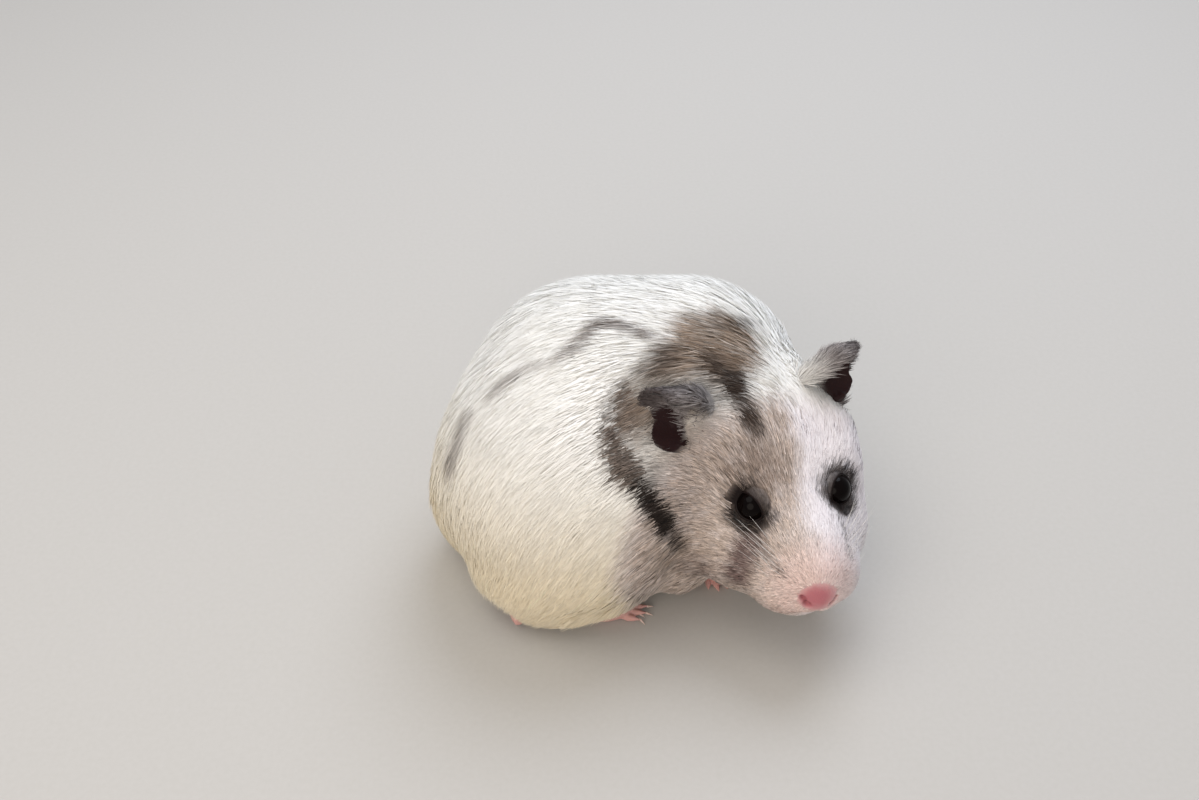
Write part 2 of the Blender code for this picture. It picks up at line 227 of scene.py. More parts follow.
def neighbour_sum(values, ends):
    """For each point, the sum of the values at the far ends of its edges."""
    total = np.zeros_like(values)
    np.add.at(total, ends[:, 0], values[ends[:, 1]])
    np.add.at(total, ends[:, 1], values[ends[:, 0]])
    return total


def softened(mesh, values, rounds):
    """Values of a mesh's points, averaged along its edges."""
    ends = rows(mesh.edges, "vertices", 2, np.int32)
    count = np.bincount(ends.ravel(), minlength=len(values)).reshape(-1, *[1] * (values.ndim - 1))
    for _ in range(rounds):
        values = 0.5 * values + 0.5 * neighbour_sum(values, ends) / count
    return values


def drawn_flat(mesh, points, share, rounds):
    """Points drawn by their share to the middle of their neighbours, as a stretched sheet lies."""
    ends = rows(mesh.edges, "vertices", 2, np.int32)
    ends = ends[(share[ends] > 0).any(axis=1)]
    moved, local = np.unique(ends, return_inverse=True)
    ends = local.reshape(-1, 2)
    count = np.bincount(ends.ravel(), minlength=len(moved))[:, None]
    places, pull = points[moved], share[moved][:, None]
    for _ in range(rounds):
        places = places + pull * (neighbour_sum(places, ends) / count - places)
    points = points.copy()
    points[moved] = places
    return points


skin = joined_copy("skin", FLESH, SKIN_SWELL)
remesh_evenly(skin, SKIN_GRAIN, rounds=14)
surface = mesh_points(skin.data)
inward = unit(softened(skin.data, mesh_normals(skin.data), rounds=6))
depth = softened(skin.data, coat_depth(surface), rounds=10)
surface -= inward * depth[:, None]

# The right ear stands in a bowl of the solids. The hide closes it as a stretched sheet would,
# and has only a shallow dimple there, at the ear's hollow.
EAR_BED = EAR_ROOT["ear_right"] + BED_OUT * EAR_OUT["ear_right"]
BED_EDGE = (9.5, 13.0)  # millimetres from its middle: loose within the first, held past the second
STRETCHES = 400
DIMPLE_EDGE = (2.0, 6.8)
DIMPLE_SHARE = 0.2  # of the way in to the middle of the head
loose = fade(apart(surface, EAR_BED), *BED_EDGE)
surface = drawn_flat(skin.data, surface, loose, STRETCHES)
sunk = fade(from_hollow("ear_right", surface), *DIMPLE_EDGE)
inner = BROW_AT - 12 * MM * HEAD_FORWARD
surface += (inner - HOLLOW_AT["ear_right"]) * DIMPLE_SHARE * sunk[:, None]
move_points(skin.data, surface)


# Nose and mouth: the end of the muzzle is a bare pad of moist skin. Two comma-shaped nostrils
# are sunk in it, and a groove runs down from it to the lips.
HEAD_AXES = np.stack([HEAD_FORWARD, HEAD_LEFT, HEAD_UP])


def in_head(points):
    """Points in the head's axes, in millimetres from midway between the eyes."""
    return (points - BROW_AT) @ HEAD_AXES.T / MM


def finer(piece, middle, reach):
    """Divides the faces of a piece that lie within reach of a place."""
    bm = bmesh.new()
    bm.from_mesh(piece.data)
    near = [edge for edge in bm.edges if (edge.verts[0].co - Vector(middle)).length < reach]
    bmesh.ops.subdivide_edges(bm, edges=near, cuts=1, use_grid_fill=True, smooth=0.3)
    bmesh.ops.triangulate(bm, faces=[face for face in bm.faces if len(face.verts) > 4])
    bm.to_mesh(piece.data)
    bm.free()


def near_ball(local, centre, radii):
    """1 at the centre of an ellipsoid in head millimetres, 0 outside it."""
    return fade(np.linalg.norm((local - np.array(centre)) / np.array(radii), axis=1), 0.0, 1.0)


finer(skin, NOSE_AT, reach=9 * MM)
finer(skin, NOSE_AT, reach=6.5 * MM)
surface = mesh_points(skin.data)
local = in_head(surface)
NOSE_FRONT = float(local[:, 0].max())
NOSE_SIDE = float(in_head(NOSE_AT)[1])
NOSTRILS = [((NOSE_FRONT - 1.4, NOSE_SIDE + side * 2.4, 0.2), (2.0, 1.15, 0.9)) for side in (1, -1)]
NOSTRILS += [((NOSE_FRONT - 2.4, NOSE_SIDE + side * 3.2, 0.9), (1.9, 0.9, 0.7)) for side in (1, -1)]
GROOVES = [
    ((NOSE_FRONT - 1.0, NOSE_SIDE, -3.2), (3.0, 0.6, 3.4)),
    ((NOSE_FRONT - 3.4, NOSE_SIDE, -6.4), (5.0, 4.6, 0.8)),
]
NOSE_DENTS = [(*nostril, 1.1) for nostril in NOSTRILS] + [(*groove, 0.7) for groove in GROOVES]
dent = sum(near_ball(local, centre, radii) * deep for centre, radii, deep in NOSE_DENTS)
move_points(skin.data, surface - mesh_normals(skin.data) * dent[:, None] * MM)


# Sockets and lids: the hide round each eye is drawn in to hold the eyeball. A thin ring of bare
# lid lies on the eyeball, open in a slanted almond, and spreads back under the coat.
EYE_RADIUS = 0.465 * (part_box("eye_left")[1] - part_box("eye_left")[0])[2]  # bare of its lids
EYE_SUNK = 0.35 * MM
LID_OPEN_WIDE = math.radians(62)  # from the eye's middle line to the lids' corners
LID_OPEN_HIGH = {"left": math.radians(54), "right": math.radians(43)}
LID_RIM = 0.32 * MM
LID_POINTS = 64
# Rows of the ring, from its inner edge out: how far past the opening, and how high on the rim
LID_ROWS = [(-0.02, 0.03), (-0.015, 0.55), (0.05, 1.0), (0.14, 1.0), (0.30, 0.8), (0.50, 0.5), (0.80, 0.2)]
EYE_OUT = {"left": (0.36, 0.36, 0.86), "right": (0.30, -0.71, 0.64)}  # in the head's axes


def eye_axes(side):
    """Out of the socket, along the slit towards the nose, and across the slit."""
    sign = 1 if side == "left" else -1
    out = unit(np.array(EYE_OUT[side]) @ HEAD_AXES)
    slit = 0.80 * HEAD_FORWARD - sign * 0.45 * HEAD_LEFT
    slit = unit(slit - out * np.dot(slit, out))
    return out, slit, np.cross(out, slit) * sign


EYE_AT = {side: EYE_MIDDLE[side] - EYE_SUNK * eye_axes(side)[0] for side in EYE_MIDDLE}


def opening(side, around):
    """How far the lids open from the eye's middle line, in each direction round it."""
    wide, high = math.sin(LID_OPEN_WIDE), math.sin(LID_OPEN_HIGH[side])
    reach = np.arcsin(1 / np.sqrt((np.cos(around) / wide) ** 2 + (np.sin(around) / high) ** 2))
    return reach + 0.10 * np.abs(np.cos(around)) ** 6


def past_lids(side, points):
    """How far points lie outside the lids' opening, as an angle, and from the eyeball's centre."""
    out, slit, across = eye_axes(side)
    arm = points - EYE_AT[side]
    gap = np.maximum(np.linalg.norm(arm, axis=-1), 1e-6)
    slant = np.arccos(np.clip(arm @ out / gap, -1, 1))
    return slant - opening(side, np.arctan2(arm @ across, arm @ slit)), gap


def bridge(bm, rings):
    """Faces between each closed ring of points and the next."""
    for inner, outer in zip(rings, rings[1:]):
        for i in range(len(inner)):
            j = (i + 1) % len(inner)
            bm.faces.new((inner[i], inner[j], outer[j], outer[i]))


def lids(side):
    """The ring of lid round one eye."""
    out, slit, across = eye_axes(side)
    around = np.linspace(0, 2 * math.pi, LID_POINTS, endpoint=False)
    flat = np.outer(np.cos(around), slit) + np.outer(np.sin(around), across)
    bm = bmesh.new()
    rings = []
    for turn, lift in LID_ROWS:
        radius = EYE_RADIUS + LID_RIM * lift
        reach = opening(side, around) + turn
        ring = EYE_AT[side] + radius * (np.cos(reach)[:, None] * out + np.sin(reach)[:, None] * flat)
        rings.append([bm.verts.new(point) for point in ring])
    bridge(bm, rings)
    bmesh.ops.recalc_face_normals(bm, faces=bm.faces)
    return new_piece(f"lids_{side}", bm)


for side in EYE_AT:
    finer(skin, EYE_AT[side], reach=7.5 * MM)
surface = mesh_points(skin.data)
for side in EYE_AT:
    slant, gap = past_lids(side, surface)
    most = EYE_RADIUS + np.interp(slant, (0, 0.12, 0.7), (-0.35, 0.05, 1.5)) * MM
    held = fade(gap / MM, 5.6, 7.6) * fade(slant, 0.7, 1.0) * np.maximum(1 - most / gap, 0)
    surface -= (surface - EYE_AT[side]) * held[:, None]
move_points(skin.data, surface)
body_mesh = skin.data.copy()  # the hide alone, from which the coat grows
hide_tree = BVHTree.FromPolygons(
    [vert.co for vert in body_mesh.vertices], [tuple(face.vertices) for face in body_mesh.polygons]
)


# Ears: thin dark hoods of skin and gristle, open forwards, with a downy back. Each wall runs
# on under the coat down to the hide, and the right ear's front wall lies down over its bed.
EAR_LENGTH = {"ear_left": 9.0, "ear_right": 12.0}  # millimetres
HOLLOW_REACH = {"ear_left": 5.4, "ear_right": 4.6}  # of the naked skin, in millimetres
EAR_GRAIN = 0.3 * MM
EAR_WALL = 0.55 * MM
EAR_FOOT = 3.4 * MM  # walls this near the hide run on down to it
FOOT_SUNK = 0.6 * MM
FOOT_STEP = 0.4 * MM


def round_ear(name, points):
    """How far points lie along an ear's length, and the way and distance from its middle line."""
    arm = points - EAR_ROOT[name]
    along = arm @ EAR_OUT[name]
    out = arm - along[..., None] * EAR_OUT[name]
    return along / MM, out, np.linalg.norm(out, axis=-1) / MM


def ear_skin(name):
    bm = solid_copy(name)
    rooted = []
    for vert in bm.verts:
        foot, normal, _, gap = hide_tree.find_nearest(vert.co)
        along, _, _ = round_ear(name, np.array([vert.co]))
        if gap < EAR_FOOT and along[0] < 4.0:
            rooted.append((vert.co.copy(), foot - normal * FOOT_SUNK))
    for start, foot in rooted:
        steps = max(int((start - foot).length / FOOT_STEP), 1)
        for step in range(steps + 1):
            place = Matrix.Translation(start.lerp(foot, step / steps))
            bmesh.ops.create_icosphere(bm, subdivisions=1, radius=EAR_WALL, matrix=place)
    ear = new_piece(f"{name}_skin", bm)
    remesh_evenly(ear, EAR_GRAIN, rounds=8)
    points = mesh_points(ear.data)
    along, out, _ = round_ear(name, points)
    feet = np.array([np.array(hide_tree.find_nearest(Vector(point))[0]) for point in points])
    laid = 1.05 * fade(along, -5.0, 2.0)
    if name == "ear_right":
        front = ramp(unit(out) @ HEAD_FORWARD, 0.15, 0.65) * fade(along, 8.0, 10.0)
        laid = np.maximum(laid, 0.92 * front)
    points += (feet - points) * laid[:, None]
    if name == "ear_left":
        points -= EAR_OUT[name] * (np.maximum(along - 6.8, 0) * 0.5 * MM)[:, None]
    move_points(ear.data, points)
    return ear


# Paws and tail: bare pink skin over thin toes, with a short wrist or heel that runs up into the
# coat, and the stub of a tail. All are one hide with the body.
PAW_GRAIN = 0.28 * MM
WRIST_LENGTH = 7 * MM
WRIST_RADII = (1.5 * MM, 1.5 * MM, 4.2 * MM, 1)
SOLE_AT = 0.1 * MM  # height of the lowest skin over the floor


def paw_skin(name):
    bm = solid_copy(name)
    start = at(name, (0.5, 0.5, 0.6))
    end = at(LIMB_OF[name], (0.5, 0.5, 0.35))
    end = start + unit(end - start) * WRIST_LENGTH
    turn = Vector(end - start).to_track_quat("Z", "Y").to_matrix().to_4x4()
    matrix = Matrix.Translation((start + end) / 2) @ turn @ Matrix.Diagonal(WRIST_RADII)
    bmesh.ops.create_uvsphere(bm, u_segments=14, v_segments=10, radius=1, matrix=matrix)
    paw = new_piece(f"{name}_skin", bm)
    remesh_evenly(paw, PAW_GRAIN, rounds=2)
    points = mesh_points(paw.data)
    points[:, 2] = np.maximum(points[:, 2], SOLE_AT)
    move_points(paw.data, points)
    return paw


def join_into(piece, others):
    bm = bmesh.new()
    bm.from_mesh(piece.data)
    for other in others:
        bm.from_mesh(other.data)
        bpy.data.objects.remove(other)
    bm.to_mesh(piece.data)
    bm.free()


tail_skin = joined_copy("tail_skin", ["tail"], swell=0)
remesh_evenly(tail_skin, PAW_GRAIN, rounds=3)
ears = {name: ear_skin(name) for name in EAR_ROOT}
ear_meshes = {name: piece.data.copy() for name, piece in ears.items()}
lid_pieces = {side: lids(side) for side in EYE_AT}
lid_meshes = {side: piece.data.copy() for side, piece in lid_pieces.items()}
join_into(skin, [*ears.values(), *map(paw_skin, PAWS), tail_skin, *lid_pieces.values()])
skin.data.shade_smooth()


# Markings, shared by the hide and the coat: white, a mottled grey-brown saddle from crown to
# shoulder, a broken line along the back, a black flash behind each cheek, and an agouti right face.
# Painted shade makes the lower body creamy and darkens the fold behind the right ear, the ear's bed,
# the jaw, the far cheek and the creases from eyes to nose. The hide has them too, so that it
# doesn't show between the tufts.
def linear(colour):
    """An sRGB hex colour in linear red, green and blue."""
    parts = np.array([int(colour[i : i + 2], 16) / 255 for i in (0, 2, 4)])
    return np.where(parts <= 0.04045, parts / 12.92, ((parts + 0.055) / 1.055) ** 2.4)


WHITE = linear("f3f2ee")
LOW_SHADE_CREAM = linear("ebdfc5")
SADDLE = linear("8d7a69")
UMBER = linear("3f342d")
SOOT = linear("241c17")
LINE_GREY = linear("857c76")
AGOUTI = linear("bfafa3")
BLAZE = linear("ede7e8")
ROSE = linear("eed3cb")
PINK = linear("b36e74")
DENT_SHADE_PINK = linear("5e3232")
ROUND_EYE = linear("342b28")
LID_SKIN = linear("1a1211")
MAUVE = linear("6c5955")
RUFF_AND_FOLD_SHADE = linear("6a5f57")
BROW_GREY = linear("8b7b70")
EAR_DARK = linear("2b1a1a")
EAR_BACK = linear("4b4241")
PAW_PINK = linear("cfa199")

NOISE_CELLS = 24
NOISE = np.random.default_rng(11).random((NOISE_CELLS,) * 3)


def cell_corners(share):
    """Each corner of a grid's cell, with its weight at these shares of the way across."""
    for corner in range(8):
        step = np.array([corner & 1, corner >> 1 & 1, corner >> 2 & 1])
        yield step, np.prod(np.where(step, share, 1 - share), axis=1)


def mottle(points, size):
    """Smooth noise from 0 to 1 with spots of about this size in millimetres."""
    place = points / MM / size + 100.0
    whole = np.floor(place).astype(int)
    share = place - whole
    share = share * share * (3 - 2 * share)
    total = 0
    for step, weight in cell_corners(share):
        index = (whole + step) % NOISE_CELLS
        total = total + weight * NOISE[index[:, 0], index[:, 1], index[:, 2]]
    return total


def spot(points, centre, reach, soft=0.5):
    """1 inside a round spot, fading to 0 at reach millimetres from its centre."""
    return fade(apart(points, centre), reach * (1 - soft), reach)


def stripe(points, path, half_width, soft=0.5):
    """1 on a stripe along a path, fading to 0 at its half width in millimetres."""
    nearest = np.full(len(points), 1e9)
    for start, end in zip(path, path[1:]):
        along = end - start
        share = np.clip((points - start) @ along / (along @ along), 0, 1)
        gap = np.linalg.norm(points - start - share[:, None] * along, axis=1)
        nearest = np.minimum(nearest, gap)
    return fade(nearest / MM, half_width * (1 - soft), half_width)


def mixed(colour, other, share):
    """A colour, or one for each place, turned to another by a share for each place."""
    share = np.clip(share, 0, 1)[:, None]
    return colour * (1 - share) + other * share


def places(node, *shares):
    return [at(node, share) for share in shares]


SADDLE_SPOTS = [  # place in the chest's box, reach in millimetres, strength
    ((0.26, 0.42, 0.96), 7.5, 0.80),
    ((0.56, 0.42, 0.92), 8.5, 0.88),
    ((0.10, 0.33, 0.93), 6.5, 0.85),
    ((0.44, 0.48, 0.96), 5.5, 0.80),
    ((0.40, 0.36, 0.90), 7.0, 0.80),
]
SADDLE_PATH = places("belly", (0.96, 0.36, 0.93), (0.82, 0.30, 0.91), (0.71, 0.24, 0.88))
SADDLE_PATH += places("belly", (0.62, 0.18, 0.84), (0.61, 0.13, 0.79), (0.68, 0.10, 0.74))
CROWN_PATH = places("chest", (0.36, 0.35, 0.91), (0.44, 0.32, 0.87), (0.55, 0.31, 0.84))
CROWN_PATH += places("head", (0.37, 0.57, 0.97), (0.42, 0.52, 0.89))
NAPE_PATH = places("neck", (0.28, 0.65, 0.99)) + places("chest", (0.44, 0.48, 0.96))
BACK_LINE = places("belly", (0.84, 0.43, 0.97), (0.61, 0.46, 0.99), (0.49, 0.46, 0.99), (0.38, 0.41, 0.98))
BACK_LINE += places("rump", (0.76, 0.40, 0.97), (0.67, 0.38, 0.95), (0.57, 0.39, 0.92))
BACK_LINE += places("rump", (0.45, 0.38, 0.87), (0.37, 0.36, 0.83))
RUMP_LINE = places("rump", (0.25, 0.35, 0.75), (0.20, 0.31, 0.68), (0.15, 0.28, 0.59))
FLASH = places("belly", (0.68, 0.10, 0.74), (0.76, 0.08, 0.68), (0.85, 0.07, 0.62), (0.94, 0.07, 0.53))
FLASH += places("head", (0.08, 0.24, 0.39))
BROW_SPOTS = places("head", (0.44, 0.44, 0.78), (0.49, 0.40, 0.70), (0.33, 0.38, 0.75))
BESIDE_EAR = EAR_BED + 6.2 * MM * EAR_OUT["ear_right"]
BELOW_EAR = at("belly", (0.86, 0.12, 0.71))
JAW_SHADE_SPOT = at("head", (0.19, 0.25, 0.20))
CHEEK_PATH = places("head", (0.39, 0.20, 0.46), (0.36, 0.17, 0.39), (0.34, 0.16, 0.30))
TEAR_LINES_AND_CREASE_SHADE = [
    places("head", (0.43, 0.20, 0.49), (0.48, 0.13, 0.45), (0.53, 0.07, 0.42)),
    places("head", (0.81, 0.31, 0.53), (0.83, 0.22, 0.47), (0.85, 0.17, 0.41)),
]
LEFT_FLASH = [head_place(-14, 18, 2), head_place(-10, 19, -8), head_place(-5, 17, -15)]
PAD_RADII = (3.5, 4.1, 3.5)  # millimetres


def off_pad(points):
    """Below 1 on the bare nose pad, which is wider than it is high."""
    local = in_head(points) - in_head(NOSE_AT)
    return np.linalg.norm(local / np.array(PAD_RADII), axis=1) + 0.06 * (mottle(points, 0.8) - 0.5)


def coat_colour(points):
    """The colour that the coat shows at each place."""
    local = in_head(points)
    nose_gap = from_nose(points)
    speckle = mottle(points, 1.1)
    blotch = mottle(points, 4.0)

    # White, made creamier and darker lower down by painted shade, with grey-brown ticking
    # over the right half of the face
    colour = mixed(LOW_SHADE_CREAM, WHITE, ramp(points[:, 2] / MM, 12, 50))
    face = fade(nose_gap, 33, 40)
    colour = mixed(colour, BLAZE, face)
    middle = np.interp(nose_gap, (8, 24), (-1.6, 0.8))
    grey_side = fade(local[:, 1] + 3.0 * (blotch - 0.5) - middle, -2.3, 2.3)
    colour = mixed(colour, AGOUTI, face * grey_side * (0.60 + 0.6 * speckle))
    for place in BROW_SPOTS:
        colour = mixed(colour, BROW_GREY, 0.85 * spot(points, place, 7.5, 0.9) * (0.3 + 1.0 * speckle))

    # The saddle, the dark crown in it, and the grey ruff that runs on from it behind the right ear,
    # with painted shade in the fold between head and flank and round the ear's bed
    saddle = np.zeros(len(points))
    for share, reach, strength in SADDLE_SPOTS:
        saddle = np.maximum(saddle, strength * spot(points, at("chest", share), reach, 0.7))
    colour = mixed(colour, SADDLE, saddle * (0.55 + 0.9 * blotch) * (0.7 + 0.7 * speckle))
    colour = mixed(colour, UMBER, 0.5 * stripe(points, NAPE_PATH, 2.6, 0.8) * (0.3 + 1.1 * speckle))
    dark = np.maximum(stripe(points, CROWN_PATH, 3.9, 0.8), 1.3 * spot(points, CROWN_PATH[2], 5.6, 0.8))
    dark = np.maximum(dark, 0.5 * spot(points, CROWN_PATH[1], 7.5, 0.8))
    colour = mixed(colour, UMBER, dark * (0.55 + 0.7 * speckle))
    # Grey ruff fur with painted shade of the fold between head and flank, behind and below the ear
    band = 0.9 * stripe(points, SADDLE_PATH, 5.2, 0.8)
    band = np.maximum(band, 1.3 * stripe(points, SADDLE_PATH[2:], 6.4, 0.6))
    colour = mixed(colour, RUFF_AND_FOLD_SHADE, band * (0.60 + 0.8 * speckle))
    colour = mixed(colour, UMBER, 0.55 * stripe(points, SADDLE_PATH[3:5], 4.6, 0.8) * (0.4 + 0.8 * speckle))
    colour = mixed(colour, RUFF_AND_FOLD_SHADE, 0.65 * spot(points, BELOW_EAR, 5.2, 0.8) * (0.5 + 0.8 * speckle))
    colour = mixed(colour, RUFF_AND_FOLD_SHADE, 1.1 * spot(points, BESIDE_EAR, 6.5, 0.8) * (0.5 + 0.7 * speckle))
    # Painted shade round the right ear's bed, over grey-brown saddle fur
    bed_saddle_and_shade = 0.65 * spot(points, EAR_BED, 12.5, 0.6) * (0.4 + 0.9 * speckle)
    colour = mixed(colour, SADDLE, bed_saddle_and_shade * ramp(nose_gap, 24, 32))
    # Painted shade along the jaw, below the lower end of the flash
    colour = mixed(colour, SADDLE, 0.5 * spot(points, FLASH[-1] - 3 * MM * HEAD_UP, 8.0, 0.8))

    # The back's line, which fades to the rear, a patch on the rump, and the two flashes
    line = stripe(points, BACK_LINE, 2.2, 0.8)
    line = line * (0.55 + 0.45 * ramp(points[:, 0], BACK_LINE[-1][0], BACK_LINE[3][0]))
    colour = mixed(colour, LINE_GREY, line * (0.35 + 1.1 * blotch))
    colour = mixed(colour, LINE_GREY, 0.8 * stripe(points, RUMP_LINE, 3.6, 0.9) * (0.4 + 0.8 * blotch))
    flash = np.maximum(1.0 * stripe(points, FLASH, 2.6, 0.9), 1.5 * stripe(points, FLASH[1:4], 3.6, 0.8))
    colour = mixed(colour, SOOT, flash * (0.55 + 0.7 * speckle))
    colour = mixed(colour, SOOT, 1.1 * stripe(points, LEFT_FLASH, 3.0, 0.95) * (0.4 + 0.8 * speckle))

    # Thin pink hair at the nose, dusky cheeks, painted shade along the jaw and on the far cheek,
    # and dark lids that run down to the nose along a crease, darkened there by painted shade
    colour = mixed(colour, ROSE, 0.75 * fade(nose_gap, 4.5, 13))
    colour = mixed(colour, MAUVE, 1.0 * stripe(points, CHEEK_PATH, 5.0, 0.9) * (0.55 + 0.8 * speckle))
    # Painted shade along the jaw
    colour = mixed(colour, MAUVE, 0.55 * spot(points, JAW_SHADE_SPOT, 7.5, 0.8) * (0.5 + 0.8 * speckle))
    # Dark lines from each eye to the nose: partly dark fur, partly painted shade of the crease between cheek
    # and muzzle
    for path in TEAR_LINES_AND_CREASE_SHADE:
        colour = mixed(colour, ROUND_EYE, 0.6 * stripe(points, path, 1.1, 0.9))
    # Painted shade on the far, left cheek, in greyish lavender
    colour = mixed(colour, MAUVE, 0.35 * spot(points, head_place(5.5, 9.5, -4.5), 4.4, 0.9))
    for side, eye in EYE_AT.items():
        _, slit, _ = eye_axes(side)
        slant, gap = past_lids(side, points)
        ring = fade(slant, 0.20, 0.90) * fade(gap / MM, 4.8, 7.0)
        corner = stripe(points, [eye - slit * 3.4 * MM, eye + slit * 4.8 * MM], 2.4, 0.8)
        colour = mixed(colour, ROUND_EYE, np.maximum(0.95 * ring, 0.8 * corner))
    return colour


def skin_colour(points):
    """The colour of the hide: the coat's own, bare pink or dark where it shows, and painted shade."""
    local = in_head(points)
    colour = coat_colour(points)
    colour = mixed(colour, PINK, fade(off_pad(points), 0.75, 1.3))
    # Painted shade: the hide's shallow dimple at the right ear's hollow is painted ear-dark, partly the
    # ear's own dark skin and partly the shade of a deep hollow
    hollow = fade(from_hollow("ear_right", points) - HOLLOW_REACH["ear_right"], -0.3, 0.9)
    colour = mixed(colour, EAR_DARK, hollow)
    # Painted shade: the nostrils and the grooves down to the lips are painted dark in their depths
    dark = sum(near_ball(local, centre, np.array(radii) * 0.9) for centre, radii, _ in NOSE_DENTS)
    colour = mixed(colour, DENT_SHADE_PINK, 1.2 * dark)
    for side in EYE_AT:
        slant, gap = past_lids(side, points)
        rim = fade(gap / MM, 4.2, 4.8) * fade(slant, 0.04, 0.16)
        colour = mixed(colour, LID_SKIN, rim)
    return colour


def paint(mesh, colours):
    """Keeps a linear colour for each point of a mesh in its attribute tint."""
    layer = mesh.color_attributes.new("tint", "FLOAT_COLOR", "POINT")
    whole = np.ones((len(colours), 4), np.float32)
    whole[:, :3] = colours
    layer.data.foreach_set("color", whole.ravel())


def tree_of(points):
    """A tree to look up the nearest of some points in."""
    tree = KDTree(len(points))
    for index, point in enumerate(points):
        tree.insert(point, index)
    tree.balance()
    return tree


def near_mesh(points, mesh, reach):
    """True for each point within reach of a mesh's points."""
    tree = tree_of([vert.co for vert in mesh.vertices])
    return np.array([tree.find(point)[2] < reach for point in points])


def near_box(points, node, room):
    """True for points in a body part's box, or this many millimetres past it."""
    low, high = (np.array(corner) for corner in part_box(node))
    return ((points > low - room * MM) & (points < high + room * MM)).all(axis=1)


def ear_fur(name, points, normals):
    """1 on the outside of an ear and on the furred band inside its rim, 0 in the hollow."""
    _, out, _ = round_ear(name, points)
    facing = ramp((normals * unit(out)).sum(axis=1), -0.1, 0.4) * ramp(from_hollow(name, points), 2.2, 4.4)
    rim = ramp(from_hollow(name, points) - HOLLOW_REACH[name], 0.0, 1.4)
    return np.maximum(facing, rim)


points = mesh_points(skin.data)
normals = mesh_normals(skin.data)
tints = skin_colour(points)
for name in EAR_ROOT:
    index = np.flatnonzero(near_box(points, name, room=3))
    index = index[near_mesh(points[index], ear_meshes[name], reach=0.02 * MM)]
    here = points[index]
    along, _, _ = round_ear(name, here)
    tints[index] = mixed(EAR_DARK, EAR_BACK, ear_fur(name, here, normals[index]))
    tints[index] = mixed(tints[index], coat_colour(here), fade(along, -4.0, 1.5))
feet = np.zeros(len(points))
for name in PAWS + ["tail"]:
    feet = np.maximum(feet, near_box(points, name, room=1) * fade(points[:, 2] / MM, 3, 6))
paint(skin.data, mixed(tints, PAW_PINK, feet))


def add_node(tree, kind, settings=None, inputs=None, links=None):
    """Adds a node, with its settings, its inputs' values, and links from other nodes' outputs."""
    node = tree.nodes.new(kind)
    for name, value in (settings or {}).items():
        setattr(node, name, value)
    for name, value in (inputs or {}).items():
        node.inputs[name].default_value = value
    for name, output in (links or {}).items():
        tree.links.new(output, node.inputs[name])
    return node


def new_material(name, looks):
    """A Principled material with these values on its shader: itself, its tree, and its shader."""
    material = bpy.data.materials.new(name)
    material.use_nodes = True
    shader = material.node_tree.nodes["Principled BSDF"]
    for socket, value in looks.items():
        shader.inputs[socket].default_value = value
    return material, material.node_tree, shader


# Bare rodent skin, soft and faintly moist, with fine pores. Light goes a little way into it, so
# nose and toes look soft. Fine down dulls its gloss, above all on the lids
PORES = 2.2 / MM
PORE_DEPTH = 0.2 * MM
SKIN_LOOKS = {
    "Roughness": 0.48,
    "Specular IOR Level": 0.16,
    "IOR": 1.4,
    "Subsurface Weight": 0.12,
    "Subsurface Radius": (1.0, 0.35, 0.2),
    "Subsurface Scale": 0.8 * MM,
}
hide, tree, shader = new_material("bare_skin", SKIN_LOOKS)
tint = add_node(tree, "ShaderNodeAttribute", {"attribute_name": "tint"})
where = {"Vector": add_node(tree, "ShaderNodeTexCoord").outputs["Object"]}
pores = add_node(tree, "ShaderNodeTexNoise", inputs={"Scale": PORES, "Detail": 3}, links=where)
pits = {"Strength": 0.5, "Distance": PORE_DEPTH}
bump = add_node(tree, "ShaderNodeBump", inputs=pits, links={"Height": pores.outputs["Fac"]})
tree.links.new(tint.outputs["Color"], shader.inputs["Base Color"])
tree.links.new(bump.outputs["Normal"], shader.inputs["Normal"])
skin.data.materials.clear()
skin.data.materials.append(hide)
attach(skin, "root")
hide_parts(*FLESH, *EAR_ROOT, *PAWS, "tail")


def clouded(tree, shader, per_mm, dark, light):
    """Gives a material faint clouds between two hex colours, so many to the millimetre."""
    where = {"Vector": add_node(tree, "ShaderNodeTexCoord").outputs["Object"]}
    clouds = add_node(tree, "ShaderNodeTexNoise", inputs={"Scale": per_mm / MM}, links=where)
    shade = add_node(tree, "ShaderNodeValToRGB", links={"Fac": clouds.outputs["Fac"]})
    shade.color_ramp.elements[0].color = (*linear(dark), 1)
    shade.color_ramp.elements[1].color = (*linear(light), 1)
    tree.links.new(shade.outputs["Color"], shader.inputs["Base Color"])


def smooth_piece(name, bm, material):
    """A piece with its faces outwards, smooth, and of one material."""
    bmesh.ops.recalc_face_normals(bm, faces=bm.faces)
    piece = new_piece(name, bm)
    piece.data.shade_smooth()
    piece.data.materials.append(material)
    return piece


# Eyes: full round eyeballs, black to the lids, each held in its socket by the ring of lid. The
# cornea over them is clear and wet, which gives small soft glints on black.
CORNEA_LOOKS = {"Roughness": 0.12, "IOR": 1.34, "Specular IOR Level": 0.12}
cornea, tree, shader = new_material("wet_black_cornea", CORNEA_LOOKS)
clouded(tree, shader, per_mm=0.5, dark="050303", light="0d0706")
for side in EYE_AT:
    out, slit, across = eye_axes(side)
    turn = Matrix(np.stack([slit, across, out]).T.tolist()).to_4x4()
    matrix = Matrix.Translation(EYE_AT[side]) @ turn
    bm = bmesh.new()
    bmesh.ops.create_uvsphere(bm, u_segments=48, v_segments=28, radius=EYE_RADIUS, matrix=matrix)
    eyeball = smooth_piece(f"eyeball_{side}", bm, cornea)
    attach(eyeball, "root")
    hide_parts(f"eye_{side}")


